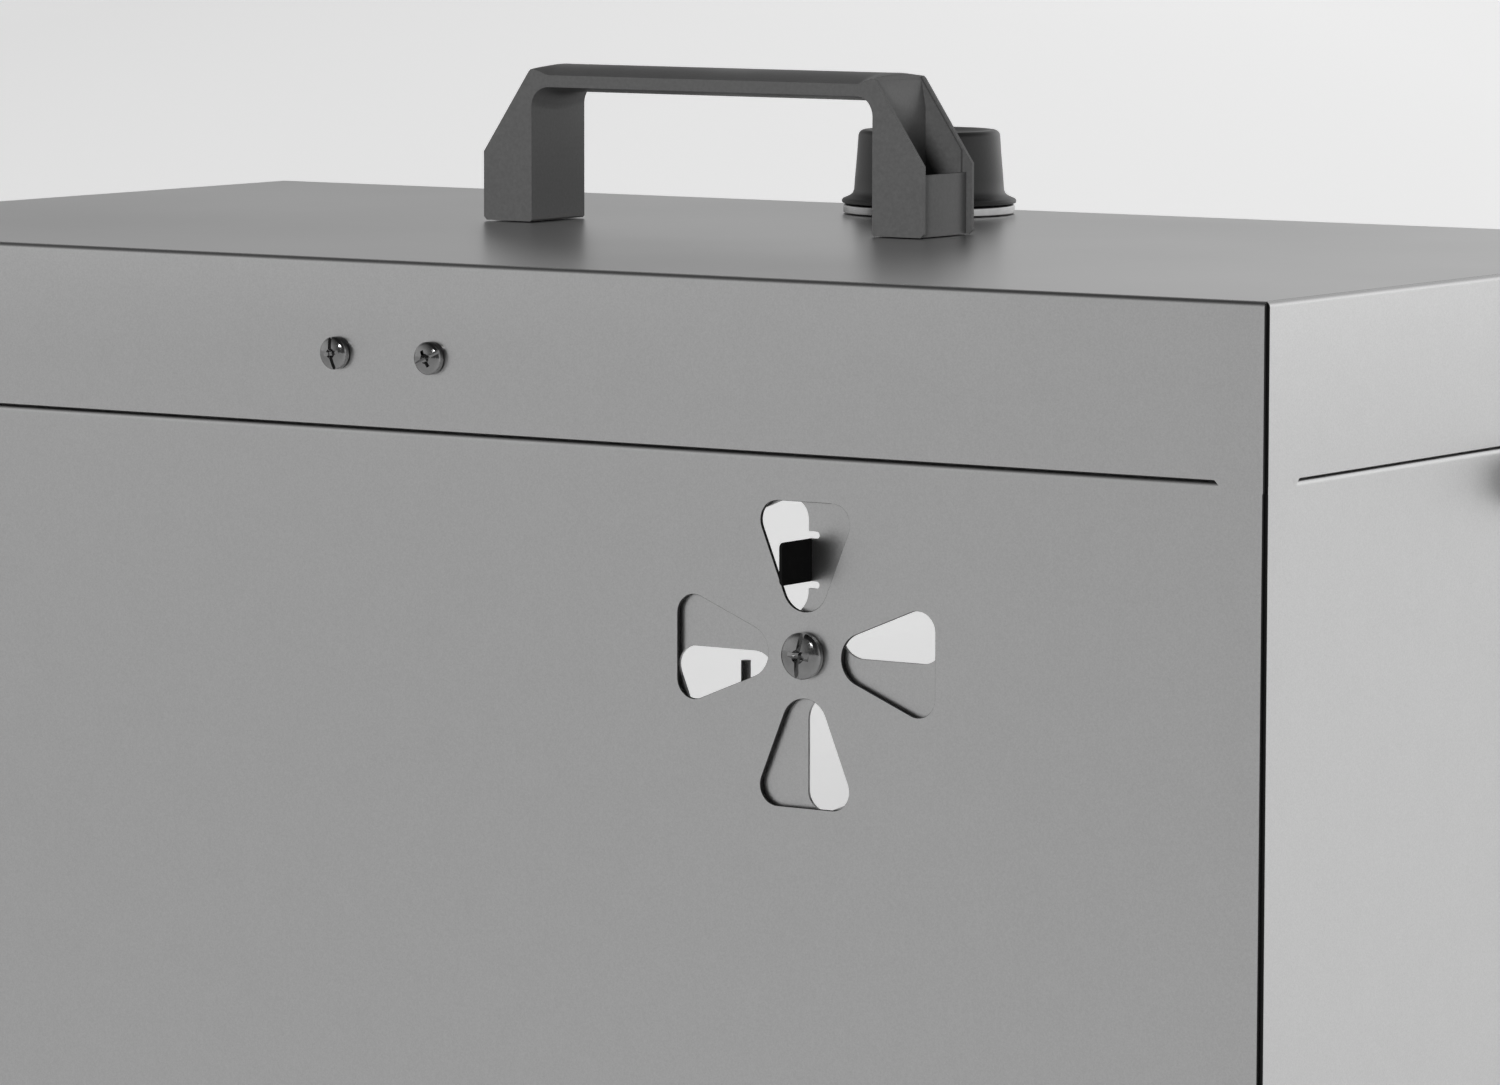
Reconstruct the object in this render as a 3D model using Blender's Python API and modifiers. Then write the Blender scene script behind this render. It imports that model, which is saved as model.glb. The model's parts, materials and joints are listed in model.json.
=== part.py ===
"""Fan-ventilated sheet-steel cabinet, in metres, +Z up.

The cabinet stands on four rubber feet. A hood on top holds the speed control, an axial fan
sits in the left end wall, a turning four-petal damper in the long wall lets the air out, and
a clear door with a turn latch closes the other long side.
"""
from math import cos, pi, radians, sin

import bmesh
import bpy
from mathutils import Matrix, Vector

# ---------------------------------------------------------------- driving dimensions
LENGTH = 0.480              # along X, outside the sheet
DEPTH = 0.266               # along Y, outside the sheet
TOP = 0.360                 # top of the hood above the floor
SHEET = 0.0010              # sheet thickness
GAP = 0.0003                # between touching pieces
FOOT_HEIGHT = 0.012

HOOD_SKIRT = 0.0405         # visible height of the hood
HOOD_EAR = 0.0428           # depth of the hood's corners, where it meets the walls
HOOD_BEND = 0.0015          # outer bend radius of the hood
SEAM_GAP = 0.0005           # between the hood's lower edge and the wall's folded edge
FOLD_RADIUS = 0.0020        # outer radius of the wall's folded top edge
FOLD_FLANGE = 0.0090        # how far the folded edge runs inwards
LONG_EAR = 0.0125           # plain corner length on the long walls
SHORT_EAR = 0.0147          # plain corner length on the end walls
CORNER_SLIT = 0.0007        # open slit at the hood's vertical corners
CORNER_GAP = 0.0012         # open gap at the walls' vertical corners
POST_LEG = 0.012

DAMPER_X = 0.1172           # damper centre, from the cabinet's middle
DAMPER_DROP = 0.0875        # damper centre below the top
PETAL_HALF = radians(22.3)  # half angle between a petal's straight sides
PETAL_REACH = 0.0359        # radius of a petal's straight outer edge
PETAL_CORNER = 0.00475
PETAL_TIP_AT = 0.0164       # centre of the rounded inner end
DISC_RADIUS = 0.041
DISC_SHEET = 0.0008
DISC_SET_BACK = 0.0016      # disc's outer face behind the wall's outer face
TAB_INNER = 0.0173
TAB_OUTER = 0.0273
TAB_REACH = 0.0127
TAB_NOTCH = 0.0017
TAB_NOTCH_DEPTH = 0.0030

HANDLE_AT = (-0.0095, 0.0210)
HANDLE_LENGTH = 0.137
HANDLE_DEPTH = 0.024
HANDLE_HEIGHT = 0.0410
HANDLE_LEG = 0.0154
HANDLE_SHOULDER = 0.0180    # height where the outer edge starts to slant
HANDLE_SLANT = 0.0150
HANDLE_GRIP = 0.0072
HANDLE_INNER_RADIUS = 0.005
HANDLE_WALL = 0.0019
HANDLE_FLOOR = 0.007
HANDLE_SCREW_X = 0.060
BAFFLE_SLOT = 0.110           # air slots across the baffle
BAFFLE_SLOT_TALL = 0.017
BAFFLE_PITCH = 0.032

KNOB_AT = (0.0, 0.1045)
BEZEL_RADIUS = 0.0230
BEZEL_TOP = 0.0026
KNOB_BOTTOM = 0.0029        # above the hood
KNOB_TOP = 0.0225
KNOB_SKIRT_RADIUS = 0.0234

HOOD_SCREWS_X = (-0.0188, 0.0095)
HOOD_SCREW_DROP = 0.023

DOOR_LEFT = -0.104          # opening in the door wall
DOOR_RIGHT = 0.210
DOOR_BOTTOM = 0.030
DOOR_TOP_DROP = 0.052
PANE_OVERLAP = 0.008
PANE_THICK = 0.004
PANE_RIGHT = 0.2195
HINGE_X = 0.224
HINGE_OUT = 0.0068          # hinge axis outside the door wall
HINGE_DROPS = (0.090, 0.270)
HINGE_LENGTH = 0.040
KNUCKLE_RADIUS = 0.0035
HINGE_PIN_RADIUS = 0.0015
LATCH_X = -0.0844
LATCH_DROP = 0.1640
LEVER_REACH = 0.0336
LEVER_RADIUS = 0.0014
LEVER_OUT = 0.0110          # lever axis outside the door wall

FAN_Z = 0.165
FAN_SIZE = 0.119
FAN_THICK = 0.038
FAN_BORE = 0.057
FAN_FLANGE = 0.0045
FAN_HOLE = 0.0525           # half the fan's screw spacing
FAN_BLADES = 5
FAN_OPENING = 0.055

GLAND_Y = 0.008
GLAND_DROP = 0.051
GLAND_REACH = 0.018

BAFFLE_X = -0.122
FOOT_X = 0.205
FOOT_Y = 0.100

# ---------------------------------------------------------------- derived places
LEFT = -LENGTH / 2
RIGHT = LENGTH / 2
FRONT = -DEPTH / 2
BACK = DEPTH / 2
SEAM = TOP - HOOD_SKIRT
FOLD_TOP = SEAM - SEAM_GAP
BEND_LINE = FOLD_TOP - FOLD_RADIUS
DAMPER_Z = TOP - DAMPER_DROP
PAN_LOW = FOOT_HEIGHT + GAP
PAN_HIGH = PAN_LOW + SHEET
DOOR_TOP = TOP - DOOR_TOP_DROP
PANE_INNER = BACK + 0.0005
PANE_OUTER = PANE_INNER + PANE_THICK
HINGE_Y = BACK + HINGE_OUT
FAN_SCREW_HEAD = 0.0022
GUARD_OUT = 0.0045
X_LOW = LEFT - GUARD_OUT - FAN_SCREW_HEAD
X_HIGH = RIGHT + GLAND_REACH
Y_LOW = FRONT + DISC_SET_BACK - TAB_REACH
Y_HIGH = BACK + 0.0140

for old in list(bpy.data.objects):
    bpy.data.objects.remove(old)


def new_collection(name):
    group = bpy.data.collections.new(name)
    bpy.context.scene.collection.children.link(group)
    return group


PARTS = new_collection("ventilated_cabinet")
CUTTERS = new_collection("cutters")

# The empty carries the whole cabinet, so that the middle of everything stands at X = Y = 0.
CABINET = bpy.data.objects.new("cabinet", None)
CABINET.location = (-(X_LOW + X_HIGH) / 2, -(Y_LOW + Y_HIGH) / 2, 0)
PARTS.objects.link(CABINET)


# ---------------------------------------------------------------- finishes
def finish(name, colour, roughness, metallic=0.0, alpha=1.0):
    made = bpy.data.materials.new(name)
    made.use_nodes = True
    shader = made.node_tree.nodes["Principled BSDF"]
    shader.inputs["Base Color"].default_value = (*colour, 1)
    shader.inputs["Roughness"].default_value = roughness
    shader.inputs["Metallic"].default_value = metallic
    shader.inputs["Alpha"].default_value = alpha
    return made


STEEL = finish("satin_steel", (0.55, 0.55, 0.55), 0.35, 1.0)
ZINC = finish("bright_zinc", (0.75, 0.75, 0.75), 0.2, 1.0)
ALUMINIUM = finish("turned_aluminium", (0.80, 0.80, 0.80), 0.25, 1.0)
CASTING = finish("cast_aluminium", (0.10, 0.10, 0.10), 0.5, 0.2)
HANDLE_PLASTIC = finish("handle_plastic", (0.07, 0.07, 0.07), 0.45)
KNOB_PLASTIC = finish("knob_plastic", (0.05, 0.05, 0.05), 0.5)
BLACK_PLASTIC = finish("black_plastic", (0.03, 0.03, 0.03), 0.5)
RUBBER = finish("rubber", (0.02, 0.02, 0.02), 0.8)
BOARD = finish("board", (0.03, 0.15, 0.06), 0.4)
CLEAR = finish("clear_acrylic", (0.95, 0.97, 0.97), 0.03, 0.0, 0.25)


# ---------------------------------------------------------------- shapes
# How a piece made along its own +Z is turned to point another way.
TURNS = {"Z": (0, 0, 0), "-Z": (pi, 0, 0), "-Y": (pi / 2, 0, 0), "Y": (-pi / 2, 0, 0),
         "X": (0, pi / 2, 0), "-X": (0, -pi / 2, 0)}
WAYS = {"Z": (0, 0, 1), "-Z": (0, 0, -1), "-Y": (0, -1, 0), "Y": (0, 1, 0), "X": (1, 0, 0), "-X": (-1, 0, 0)}


def add_object(name, data, surface=None, group=PARTS, place=(0, 0, 0), turn=(0, 0, 0)):
    made = bpy.data.objects.new(name, data)
    made.location = place
    made.rotation_euler = turn
    made.parent = CABINET
    if surface:
        data.materials.append(surface)
    group.objects.link(made)
    if group is CUTTERS:
        made.hide_render = True
        made.display_type = "WIRE"
    return made


def box(name, low, high, surface=None, group=PARTS, pivot=(0, 0, 0)):
    """A block between two corners, with its origin at the pivot."""
    size = Vector(high) - Vector(low)
    middle = (Vector(high) + Vector(low)) / 2 - Vector(pivot)
    shape = bmesh.new()
    bmesh.ops.create_cube(shape, size=1, matrix=Matrix.Translation(middle) @ Matrix.Diagonal((*size, 1)))
    mesh = bpy.data.meshes.new(name)
    shape.to_mesh(mesh)
    shape.free()
    return add_object(name, mesh, surface, group, pivot)


def rod(name, start, end, radius, sides=16, surface=None, group=PARTS, pivot=(0, 0, 0)):
    """A round bar between two points."""
    start = Vector(start) - Vector(pivot)
    end = Vector(end) - Vector(pivot)
    along = end - start
    turn = along.to_track_quat("Z", "Y").to_matrix().to_4x4()
    shape = bmesh.new()
    bmesh.ops.create_cone(shape, cap_ends=True, segments=sides, radius1=radius, radius2=radius,
                          depth=along.length, matrix=Matrix.Translation((start + end) / 2) @ turn)
    mesh = bpy.data.meshes.new(name)
    shape.to_mesh(mesh)
    shape.free()
    return add_object(name, mesh, surface, group, pivot)


def turned(name, profile, place, surface, direction="Z", steps=24):
    """A lathe piece. The profile lists (radius, height) down its outer side."""
    shape = bmesh.new()
    points = [shape.verts.new((radius, 0, height)) for radius, height in profile]
    for first, second in zip(points, points[1:]):
        shape.edges.new((first, second))
    if profile[0][0] > 0:
        shape.edges.new((points[-1], points[0]))
    mesh = bpy.data.meshes.new(name)
    shape.to_mesh(mesh)
    shape.free()
    made = add_object(name, mesh, surface, place=place, turn=TURNS[direction])
    spin = made.modifiers.new("turn", "SCREW")
    spin.axis = "Z"
    spin.steps = steps
    spin.render_steps = steps
    spin.use_merge_vertices = True
    spin.merge_threshold = 0.00001
    spin.use_smooth_shade = True
    return made


def flat(name, outlines, thickness, surface=None, group=PARTS, place=(0, 0, 0), turn=(0, 0, 0)):
    """A flat piece cut from sheet. The first outline is the edge, the others are holes."""
    curve = bpy.data.curves.new(name, "CURVE")
    curve.dimensions = "2D"
    curve.fill_mode = "BOTH"
    curve.extrude = thickness / 2
    for outline in outlines:
        spline = curve.splines.new("POLY")
        spline.points.add(len(outline) - 1)
        for point, (across, up) in zip(spline.points, outline):
            point.co = (across, up, 0, 1)
        spline.use_cyclic_u = True
    return add_object(name, curve, surface, group, place, turn)


def as_mesh(made):
    """The same piece as a mesh, which can be cut and joined."""
    bpy.context.view_layer.update()
    evaluated = made.evaluated_get(bpy.context.evaluated_depsgraph_get())
    mesh = bpy.data.meshes.new_from_object(evaluated)
    shape = bmesh.new()
    shape.from_mesh(mesh)
    bmesh.ops.remove_doubles(shape, verts=shape.verts, dist=0.000001)
    shape.to_mesh(mesh)
    shape.free()
    name = made.name
    group = made.users_collection[0]
    place = tuple(made.location)
    turn = tuple(made.rotation_euler)
    bpy.data.objects.remove(made)
    return add_object(name, mesh, None, group, place, turn)


def combine(target, other, operation):
    joint = target.modifiers.new(operation.lower(), "BOOLEAN")
    joint.operation = operation
    joint.solver = "EXACT"
    joint.object = other
    return target


def cut(target, cutter):
    return combine(target, cutter, "DIFFERENCE")


def unite(target, *others):
    for other in others:
        combine(target, other, "UNION")
    return target


def round_edges(made, width, segments=2, angle=40):
    bevel = made.modifiers.new("edges", "BEVEL")
    bevel.width = width
    bevel.segments = segments
    bevel.limit_method = "ANGLE"
    bevel.angle_limit = radians(angle)
    return made


def smooth(made, angle=35):
    made.data.shade_smooth()
    made.data.set_sharp_from_angle(angle=radians(angle))
    return made


def circle(radius, count=24, across=0.0, up=0.0):
    return [(across + radius * cos(2 * pi * i / count), up + radius * sin(2 * pi * i / count))
            for i in range(count)]


def arc(across, up, radius, start, end, count):
    return [(across + radius * cos(start + (end - start) * i / count),
             up + radius * sin(start + (end - start) * i / count)) for i in range(count + 1)]


def rounded_rectangle(left, low, right, high, radius, count=4):
    quarter = pi / 2
    return (arc(right - radius, high - radius, radius, 0, quarter, count)
            + arc(left + radius, high - radius, radius, quarter, 2 * quarter, count)
            + arc(left + radius, low + radius, radius, 2 * quarter, 3 * quarter, count)
            + arc(right - radius, low + radius, radius, 3 * quarter, 4 * quarter, count))


def petal(middle):
    """One damper petal as (across, up) points, its middle line at the given angle."""
    tip_radius = PETAL_TIP_AT * sin(PETAL_HALF)
    corner_along = PETAL_REACH - PETAL_CORNER
    corner_side = (corner_along * sin(PETAL_HALF) - PETAL_CORNER) / cos(PETAL_HALF)
    side = pi / 2 + PETAL_HALF
    points = (arc(corner_along, corner_side, PETAL_CORNER, 0, side, 5)
              + arc(PETAL_TIP_AT, 0, tip_radius, side, 2 * pi - side, 8)
              + arc(corner_along, -corner_side, PETAL_CORNER, 2 * pi - side, 2 * pi, 5))
    return [(along * cos(middle) - out * sin(middle), along * sin(middle) + out * cos(middle))
            for along, out in points]


# ---------------------------------------------------------------- sheet-metal shell
def wall(name, length, ear, place, turn):
    """A wall with its outer face at local Y = 0 and its top edge folded inwards, except at the ears."""
    half = length / 2
    inner = half - ear
    section = [(0, FOOT_HEIGHT), (0, BEND_LINE)]
    section += [(FOLD_RADIUS * (1 - cos(angle)), BEND_LINE + FOLD_RADIUS * sin(angle))
                for angle in [pi / 8, pi / 4, 3 * pi / 8, pi / 2]]
    section.append((FOLD_FLANGE, FOLD_TOP))
    shape = bmesh.new()
    points = [shape.verts.new((-inner, inwards, height)) for inwards, height in section]
    edges = [shape.edges.new(pair) for pair in zip(points, points[1:])]
    swept = bmesh.ops.extrude_edge_only(shape, edges=edges)["geom"]
    moved = [item for item in swept if isinstance(item, bmesh.types.BMVert)]
    bmesh.ops.translate(shape, verts=moved, vec=(2 * inner, 0, 0))
    for side in (-1, 1):
        shape.edges.ensure_lookup_table()
        upright = [edge for edge in shape.edges
                   if all(abs(end.co.x - side * inner) < GAP and end.co.y < GAP for end in edge.verts)
                   and min(end.co.z for end in edge.verts) < FOOT_HEIGHT + GAP
                   and len(edge.link_faces) == 1]
        swept = bmesh.ops.extrude_edge_only(shape, edges=upright)["geom"]
        moved = [item for item in swept if isinstance(item, bmesh.types.BMVert)]
        bmesh.ops.translate(shape, verts=moved, vec=(side * ear, 0, 0))
    bmesh.ops.recalc_face_normals(shape, faces=shape.faces)
    shape.faces.ensure_lookup_table()
    upright_face = next(face for face in shape.faces if face.calc_center_median().y < GAP)
    if upright_face.normal.y > 0:
        bmesh.ops.reverse_faces(shape, faces=shape.faces)
    mesh = bpy.data.meshes.new(name)
    shape.to_mesh(mesh)
    shape.free()
    made = add_object(name, mesh, STEEL, place=place, turn=(0, 0, turn))
    sheet = made.modifiers.new("sheet", "SOLIDIFY")
    sheet.thickness = SHEET
    sheet.offset = -1
    sheet.use_even_offset = True
    return made


def make_walls():
    long_length = LENGTH - 2 * (SHEET + CORNER_GAP)
    damper_wall = wall("damper_wall", long_length, LONG_EAR + GAP - SHEET - CORNER_GAP, (0, FRONT, 0), 0)
    for index in range(4):
        hole = as_mesh(flat(f"petal_cutter_{index}", [petal(index * pi / 2)], 4 * SHEET, None, CUTTERS,
                            (DAMPER_X, FRONT, DAMPER_Z), (pi / 2, 0, 0)))
        cut(damper_wall, hole)
    cut(damper_wall, rod("damper_bore_cutter", (DAMPER_X, FRONT - SHEET, DAMPER_Z),
                         (DAMPER_X, FRONT + 2 * SHEET, DAMPER_Z), 0.0023, 16, None, CUTTERS))

    door_wall = wall("door_wall", long_length, LONG_EAR + GAP - SHEET - CORNER_GAP, (0, BACK, 0), pi)
    opening = rounded_rectangle(DOOR_LEFT, DOOR_BOTTOM, DOOR_RIGHT, DOOR_TOP, 0.008)
    cut(door_wall, as_mesh(flat("door_opening_cutter", [opening], 4 * SHEET, None, CUTTERS,
                                (0, BACK, 0), (pi / 2, 0, 0))))

    right_wall = wall("right_wall", DEPTH, SHORT_EAR + GAP, (RIGHT, 0, 0), pi / 2)
    cut(right_wall, rod("gland_hole_cutter", (RIGHT - 2 * SHEET, GLAND_Y, TOP - GLAND_DROP),
                        (RIGHT + SHEET, GLAND_Y, TOP - GLAND_DROP), 0.0053, 16, None, CUTTERS))

    left_wall = wall("left_wall", DEPTH, SHORT_EAR + GAP, (LEFT, 0, 0), -pi / 2)
    cut(left_wall, rod("fan_opening_cutter", (LEFT - SHEET, 0, FAN_Z), (LEFT + 2 * SHEET, 0, FAN_Z),
                       FAN_OPENING, 40, None, CUTTERS))
    for side in (-1, 1):
        for level in (-1, 1):
            spot = Vector((LEFT, side * FAN_HOLE, FAN_Z + level * FAN_HOLE))
            cut(left_wall, rod(f"fan_hole_cutter_{side}_{level}", spot - Vector((SHEET, 0, 0)),
                               spot + Vector((2 * SHEET, 0, 0)), 0.0023, 12, None, CUTTERS))


def make_hood():
    """The hood: a folded lid whose skirt dips a little at the corners, where it meets the walls."""
    shape = bmesh.new()
    middle = Vector((0, 0, TOP - HOOD_EAR / 2))
    scale = Matrix.Diagonal((LENGTH, DEPTH, HOOD_EAR, 1))
    bmesh.ops.create_cube(shape, size=1, matrix=Matrix.Translation(middle) @ scale)
    underside = [face for face in shape.faces if face.normal.z < -0.5]
    bmesh.ops.delete(shape, geom=underside, context="FACES_ONLY")
    mesh = bpy.data.meshes.new("hood")
    shape.to_mesh(mesh)
    shape.free()
    hood = add_object("hood", mesh, STEEL)
    round_edges(hood, HOOD_BEND, 3)
    sheet = hood.modifiers.new("sheet", "SOLIDIFY")
    sheet.thickness = SHEET
    sheet.offset = -1
    sheet.use_even_offset = True

    over = 0.002            # how far a cutter reaches past what it cuts
    step = HOOD_EAR - HOOD_SKIRT
    for side in (-1, 1):
        for name, half, ear, place, turn in (
                ("long", LENGTH / 2, LONG_EAR, (0, side * DEPTH / 2, SEAM), 0),
                ("short", DEPTH / 2, SHORT_EAR, (side * LENGTH / 2, 0, SEAM), pi / 2)):
            low = -step - over
            reach = half - ear
            outline = [(-reach, low), (reach, low), (reach, 0), (-reach, 0)]
            cut(hood, as_mesh(flat(f"skirt_{name}_cutter_{side}", [outline], 4 * over, None, CUTTERS,
                                   place, (pi / 2, 0, turn))))
            slit_x = side * (LENGTH / 2 - SHEET - CORNER_SLIT / 2)
            end = 1 if name == "long" else -1
            centre = Vector((slit_x, end * DEPTH / 2, 0))
            reach_out = Vector((CORNER_SLIT / 2, SHEET + over, 0))
            low_corner = centre - reach_out + Vector((0, 0, TOP - HOOD_EAR - over))
            high_corner = centre + reach_out + Vector((0, 0, TOP - HOOD_BEND))
            cut(hood, box(f"corner_slit_cutter_{side}_{end}", low_corner, high_corner, None, CUTTERS))

    for index, across in enumerate(HOOD_SCREWS_X):
        cut(hood, rod(f"hood_screw_cutter_{index}", (across, FRONT - over, TOP - HOOD_SCREW_DROP),
                      (across, FRONT + over, TOP - HOOD_SCREW_DROP), 0.0023, 12, None, CUTTERS))
    cut(hood, rod("control_hole_cutter", (*KNOB_AT, TOP - over), (*KNOB_AT, TOP + over), 0.0050,
                  20, None, CUTTERS))
    for side in (-1, 1):
        spot = (HANDLE_AT[0] + side * HANDLE_SCREW_X, HANDLE_AT[1])
        cut(hood, rod(f"handle_hole_cutter_{side}", (*spot, TOP - over), (*spot, TOP + over), 0.0023,
                      12, None, CUTTERS))


def make_inner_sheets():
    half_x = LENGTH / 2 - SHEET - GAP
    half_y = DEPTH / 2 - SHEET - GAP
    holes = [circle(0.0024, 12, sx * FOOT_X, sy * FOOT_Y) for sx in (-1, 1) for sy in (-1, 1)]
    edge = [(-half_x, -half_y), (half_x, -half_y), (half_x, half_y), (-half_x, half_y)]
    flat("bottom_pan", [edge] + holes, SHEET, STEEL, place=(0, 0, (PAN_LOW + PAN_HIGH) / 2))
    flat("deck_plate", [edge], SHEET, STEEL, place=(0, 0, FOLD_TOP + GAP + SHEET / 2))

    low = PAN_HIGH + GAP
    high = FOLD_TOP - SHEET - GAP
    baffle_half = half_y - GAP
    slots = []
    for row in range(4):
        level = FAN_Z + (row - 1.5) * BAFFLE_PITCH
        slots.append(rounded_rectangle(-BAFFLE_SLOT / 2, level - BAFFLE_SLOT_TALL / 2,
                                       BAFFLE_SLOT / 2, level + BAFFLE_SLOT_TALL / 2, 0.0040, 3))
    baffle_edge = [(-baffle_half, low), (baffle_half, low), (baffle_half, high), (-baffle_half, high)]
    flat("air_baffle", [baffle_edge] + slots, SHEET, STEEL, place=(BAFFLE_X, 0, 0),
         turn=(pi / 2, 0, pi / 2))

    outer = SHEET + GAP
    leg = outer + POST_LEG
    inner = outer + SHEET
    high = BEND_LINE - GAP
    height = high - low
    for name, side, end in (("front_right", 1, -1), ("front_left", -1, -1),
                            ("back_right", 1, 1), ("back_left", -1, 1)):
        corner = [(outer, outer), (leg, outer), (leg, inner), (inner, inner), (inner, leg), (outer, leg)]
        outline = [(side * (LENGTH / 2 - across), end * (DEPTH / 2 - up)) for across, up in corner]
        flat(f"corner_post_{name}", [outline], height, STEEL, place=(0, 0, low + height / 2))


# ---------------------------------------------------------------- fasteners
def screw(name, place, direction, head_radius, head_height, shank_radius, shank_length, sides=16):
    """A domed screw. Its head's underside is at the place, and its shank runs against the direction."""
    dome = [(head_radius * sin(angle), head_height * cos(angle)) for angle in (0.45, 0.9, 1.3)]
    profile = [(0, head_height)] + dome
    profile += [(head_radius, 0), (shank_radius, 0), (shank_radius, -shank_length), (0, -shank_length)]
    return turned(name, profile, place, ZINC, direction, sides)


def ring(name, inner, outer, thickness, place, direction, surface, steps=24):
    profile = [(outer, thickness), (outer, 0), (inner, 0), (inner, thickness)]
    return turned(name, profile, place, surface, direction, steps)


def nut(name, bore, half_across, thickness, place, direction, surface=ZINC):
    """A hexagon nut. Its underside is at the place."""
    middle = Vector(place) + Vector(WAYS[direction]) * thickness / 2
    outlines = [circle(half_across / cos(pi / 6), 6), circle(bore / cos(pi / 16), 16)]
    return flat(name, outlines, thickness, surface, place=middle, turn=TURNS[direction])


def make_feet():
    for name, side, end in (("front_right", 1, -1), ("front_left", -1, -1),
                            ("back_right", 1, 1), ("back_left", -1, 1)):
        spot = (side * FOOT_X, end * FOOT_Y)
        profile = [(0.0145, FOOT_HEIGHT), (0.0125, 0.0010), (0.0115, 0), (0.0060, 0), (0.0060, 0.0060),
                   (0.0026, 0.0060), (0.0026, FOOT_HEIGHT)]
        turned(f"rubber_foot_{name}", profile, (*spot, 0), RUBBER)
        screw(f"foot_screw_{name}", (*spot, 0.0060 - GAP), "-Z", 0.0045, 0.0028, 0.0020, 0.0150, 12)


# ---------------------------------------------------------------- handle
def make_handle():
    half = HANDLE_LENGTH / 2
    inner = half - HANDLE_LEG
    under = HANDLE_HEIGHT - HANDLE_GRIP
    top_x = half - HANDLE_SLANT
    right = [(inner, 0), (half, 0), (half, HANDLE_SHOULDER), (top_x, HANDLE_HEIGHT - 0.001),
             (top_x - 0.0015, HANDLE_HEIGHT)]
    left = [(-across, up) for across, up in reversed(right)]
    radius = HANDLE_INNER_RADIUS
    gap = (arc(-inner + radius, under - radius, radius, pi, pi / 2, 5)
           + arc(inner - radius, under - radius, radius, pi / 2, 0, 5))
    base = TOP + GAP
    place = (*HANDLE_AT, base)
    handle = as_mesh(flat("carry_handle", [right + left + gap], HANDLE_DEPTH, HANDLE_PLASTIC,
                          place=place, turn=(pi / 2, 0, 0)))
    smooth(handle)
    over = 0.030
    for side in (-1, 1):
        near = inner + HANDLE_WALL
        far = half - HANDLE_WALL
        edges = sorted((side * near, side * far))
        reach = HANDLE_DEPTH / 2 - HANDLE_WALL
        low = (HANDLE_AT[0] + edges[0], HANDLE_AT[1] - reach, base + HANDLE_FLOOR)
        high = (HANDLE_AT[0] + edges[1], HANDLE_AT[1] + reach, base + HANDLE_FLOOR + over)
        cut(handle, box(f"handle_pocket_cutter_{side}", low, high, None, CUTTERS))
        spot = (HANDLE_AT[0] + side * HANDLE_SCREW_X, HANDLE_AT[1])
        cut(handle, rod(f"handle_bore_cutter_{side}", (*spot, base - GAP),
                        (*spot, base + HANDLE_FLOOR + GAP), 0.0024, 12, None, CUTTERS))
        name = "handle_screw_left" if side < 0 else "handle_screw_right"
        screw(name, (*spot, base + HANDLE_FLOOR + GAP), "Z", 0.0034, 0.0030, 0.0020, 0.0160, 12)


# ---------------------------------------------------------------- speed control
def make_speed_control():
    bushing = 0.0047
    bore = 0.0033
    turned("speed_control",
           [(0, -0.0090), (bore, -0.0090), (bore, BEZEL_TOP + 0.0030), (bushing, BEZEL_TOP + 0.0030),
            (bushing, -SHEET - GAP), (0.0120, -SHEET - GAP), (0.0120, -0.0140), (0, -0.0140)],
           (*KNOB_AT, TOP), BLACK_PLASTIC)
    turned("knob_bezel",
           [(bushing + GAP, BEZEL_TOP), (BEZEL_RADIUS - 0.0006, BEZEL_TOP), (BEZEL_RADIUS, 0.0020),
            (BEZEL_RADIUS, GAP), (bushing + GAP, GAP)],
           (*KNOB_AT, TOP), ALUMINIUM, steps=40)
    nut("control_nut", bushing + GAP, 0.0065, 0.0020, (*KNOB_AT, TOP + BEZEL_TOP + GAP), "Z")
    skirt = KNOB_SKIRT_RADIUS
    blind = KNOB_TOP - 0.0060
    recess = 0.0082
    turned("control_knob",
           [(0, KNOB_TOP), (0.0168, KNOB_TOP), (0.0184, KNOB_TOP - 0.0006), (0.0193, KNOB_TOP - 0.0026),
            (0.0204, 0.0058), (0.0212, 0.0046), (skirt - 0.0003, 0.0040), (skirt, 0.0036),
            (skirt, KNOB_BOTTOM), (0.0095, KNOB_BOTTOM), (0.0095, recess), (bore, recess),
            (bore, blind), (0, blind)],
           (*KNOB_AT, TOP), KNOB_PLASTIC, steps=40)
    shaft = 0.0030
    turned("control_shaft", [(0, blind - GAP), (shaft, blind - GAP), (shaft, -0.0087), (0, -0.0087)],
           (*KNOB_AT, TOP), ALUMINIUM, steps=16)

    for name, across in zip(("hood_screw_left", "hood_screw_right"), HOOD_SCREWS_X):
        screw(name, (across, FRONT - GAP, TOP - HOOD_SCREW_DROP), "-Y", 0.0040, 0.0026, 0.0020, 0.0100)
    low = TOP - 0.0360
    inner = FRONT + SHEET + GAP
    bracket = box("control_bracket", (-0.040, inner, low), (0.030, inner + 0.0012, TOP - 0.0080), STEEL)
    unite(bracket, box("bracket_shelf_union", (-0.040, inner + 0.0006, low), (0.030, inner + 0.045,
                                                                          low + 0.0012), None, CUTTERS))
    for index, across in enumerate(HOOD_SCREWS_X):
        cut(bracket, rod(f"bracket_hole_cutter_{index}", (across, inner - GAP, TOP - HOOD_SCREW_DROP),
                         (across, inner + 2 * SHEET, TOP - HOOD_SCREW_DROP), 0.0023, 12, None, CUTTERS))
    board_low = low + 0.0012 + GAP
    box("circuit_board", (-0.036, inner + 0.010, board_low), (0.026, inner + 0.044, board_low + 0.0016), BOARD)
    block_low = board_low + 0.0016 + GAP
    box("terminal_block", (-0.026, inner + 0.018, block_low), (0.016, inner + 0.032, block_low + 0.011),
        BLACK_PLASTIC)


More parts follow.
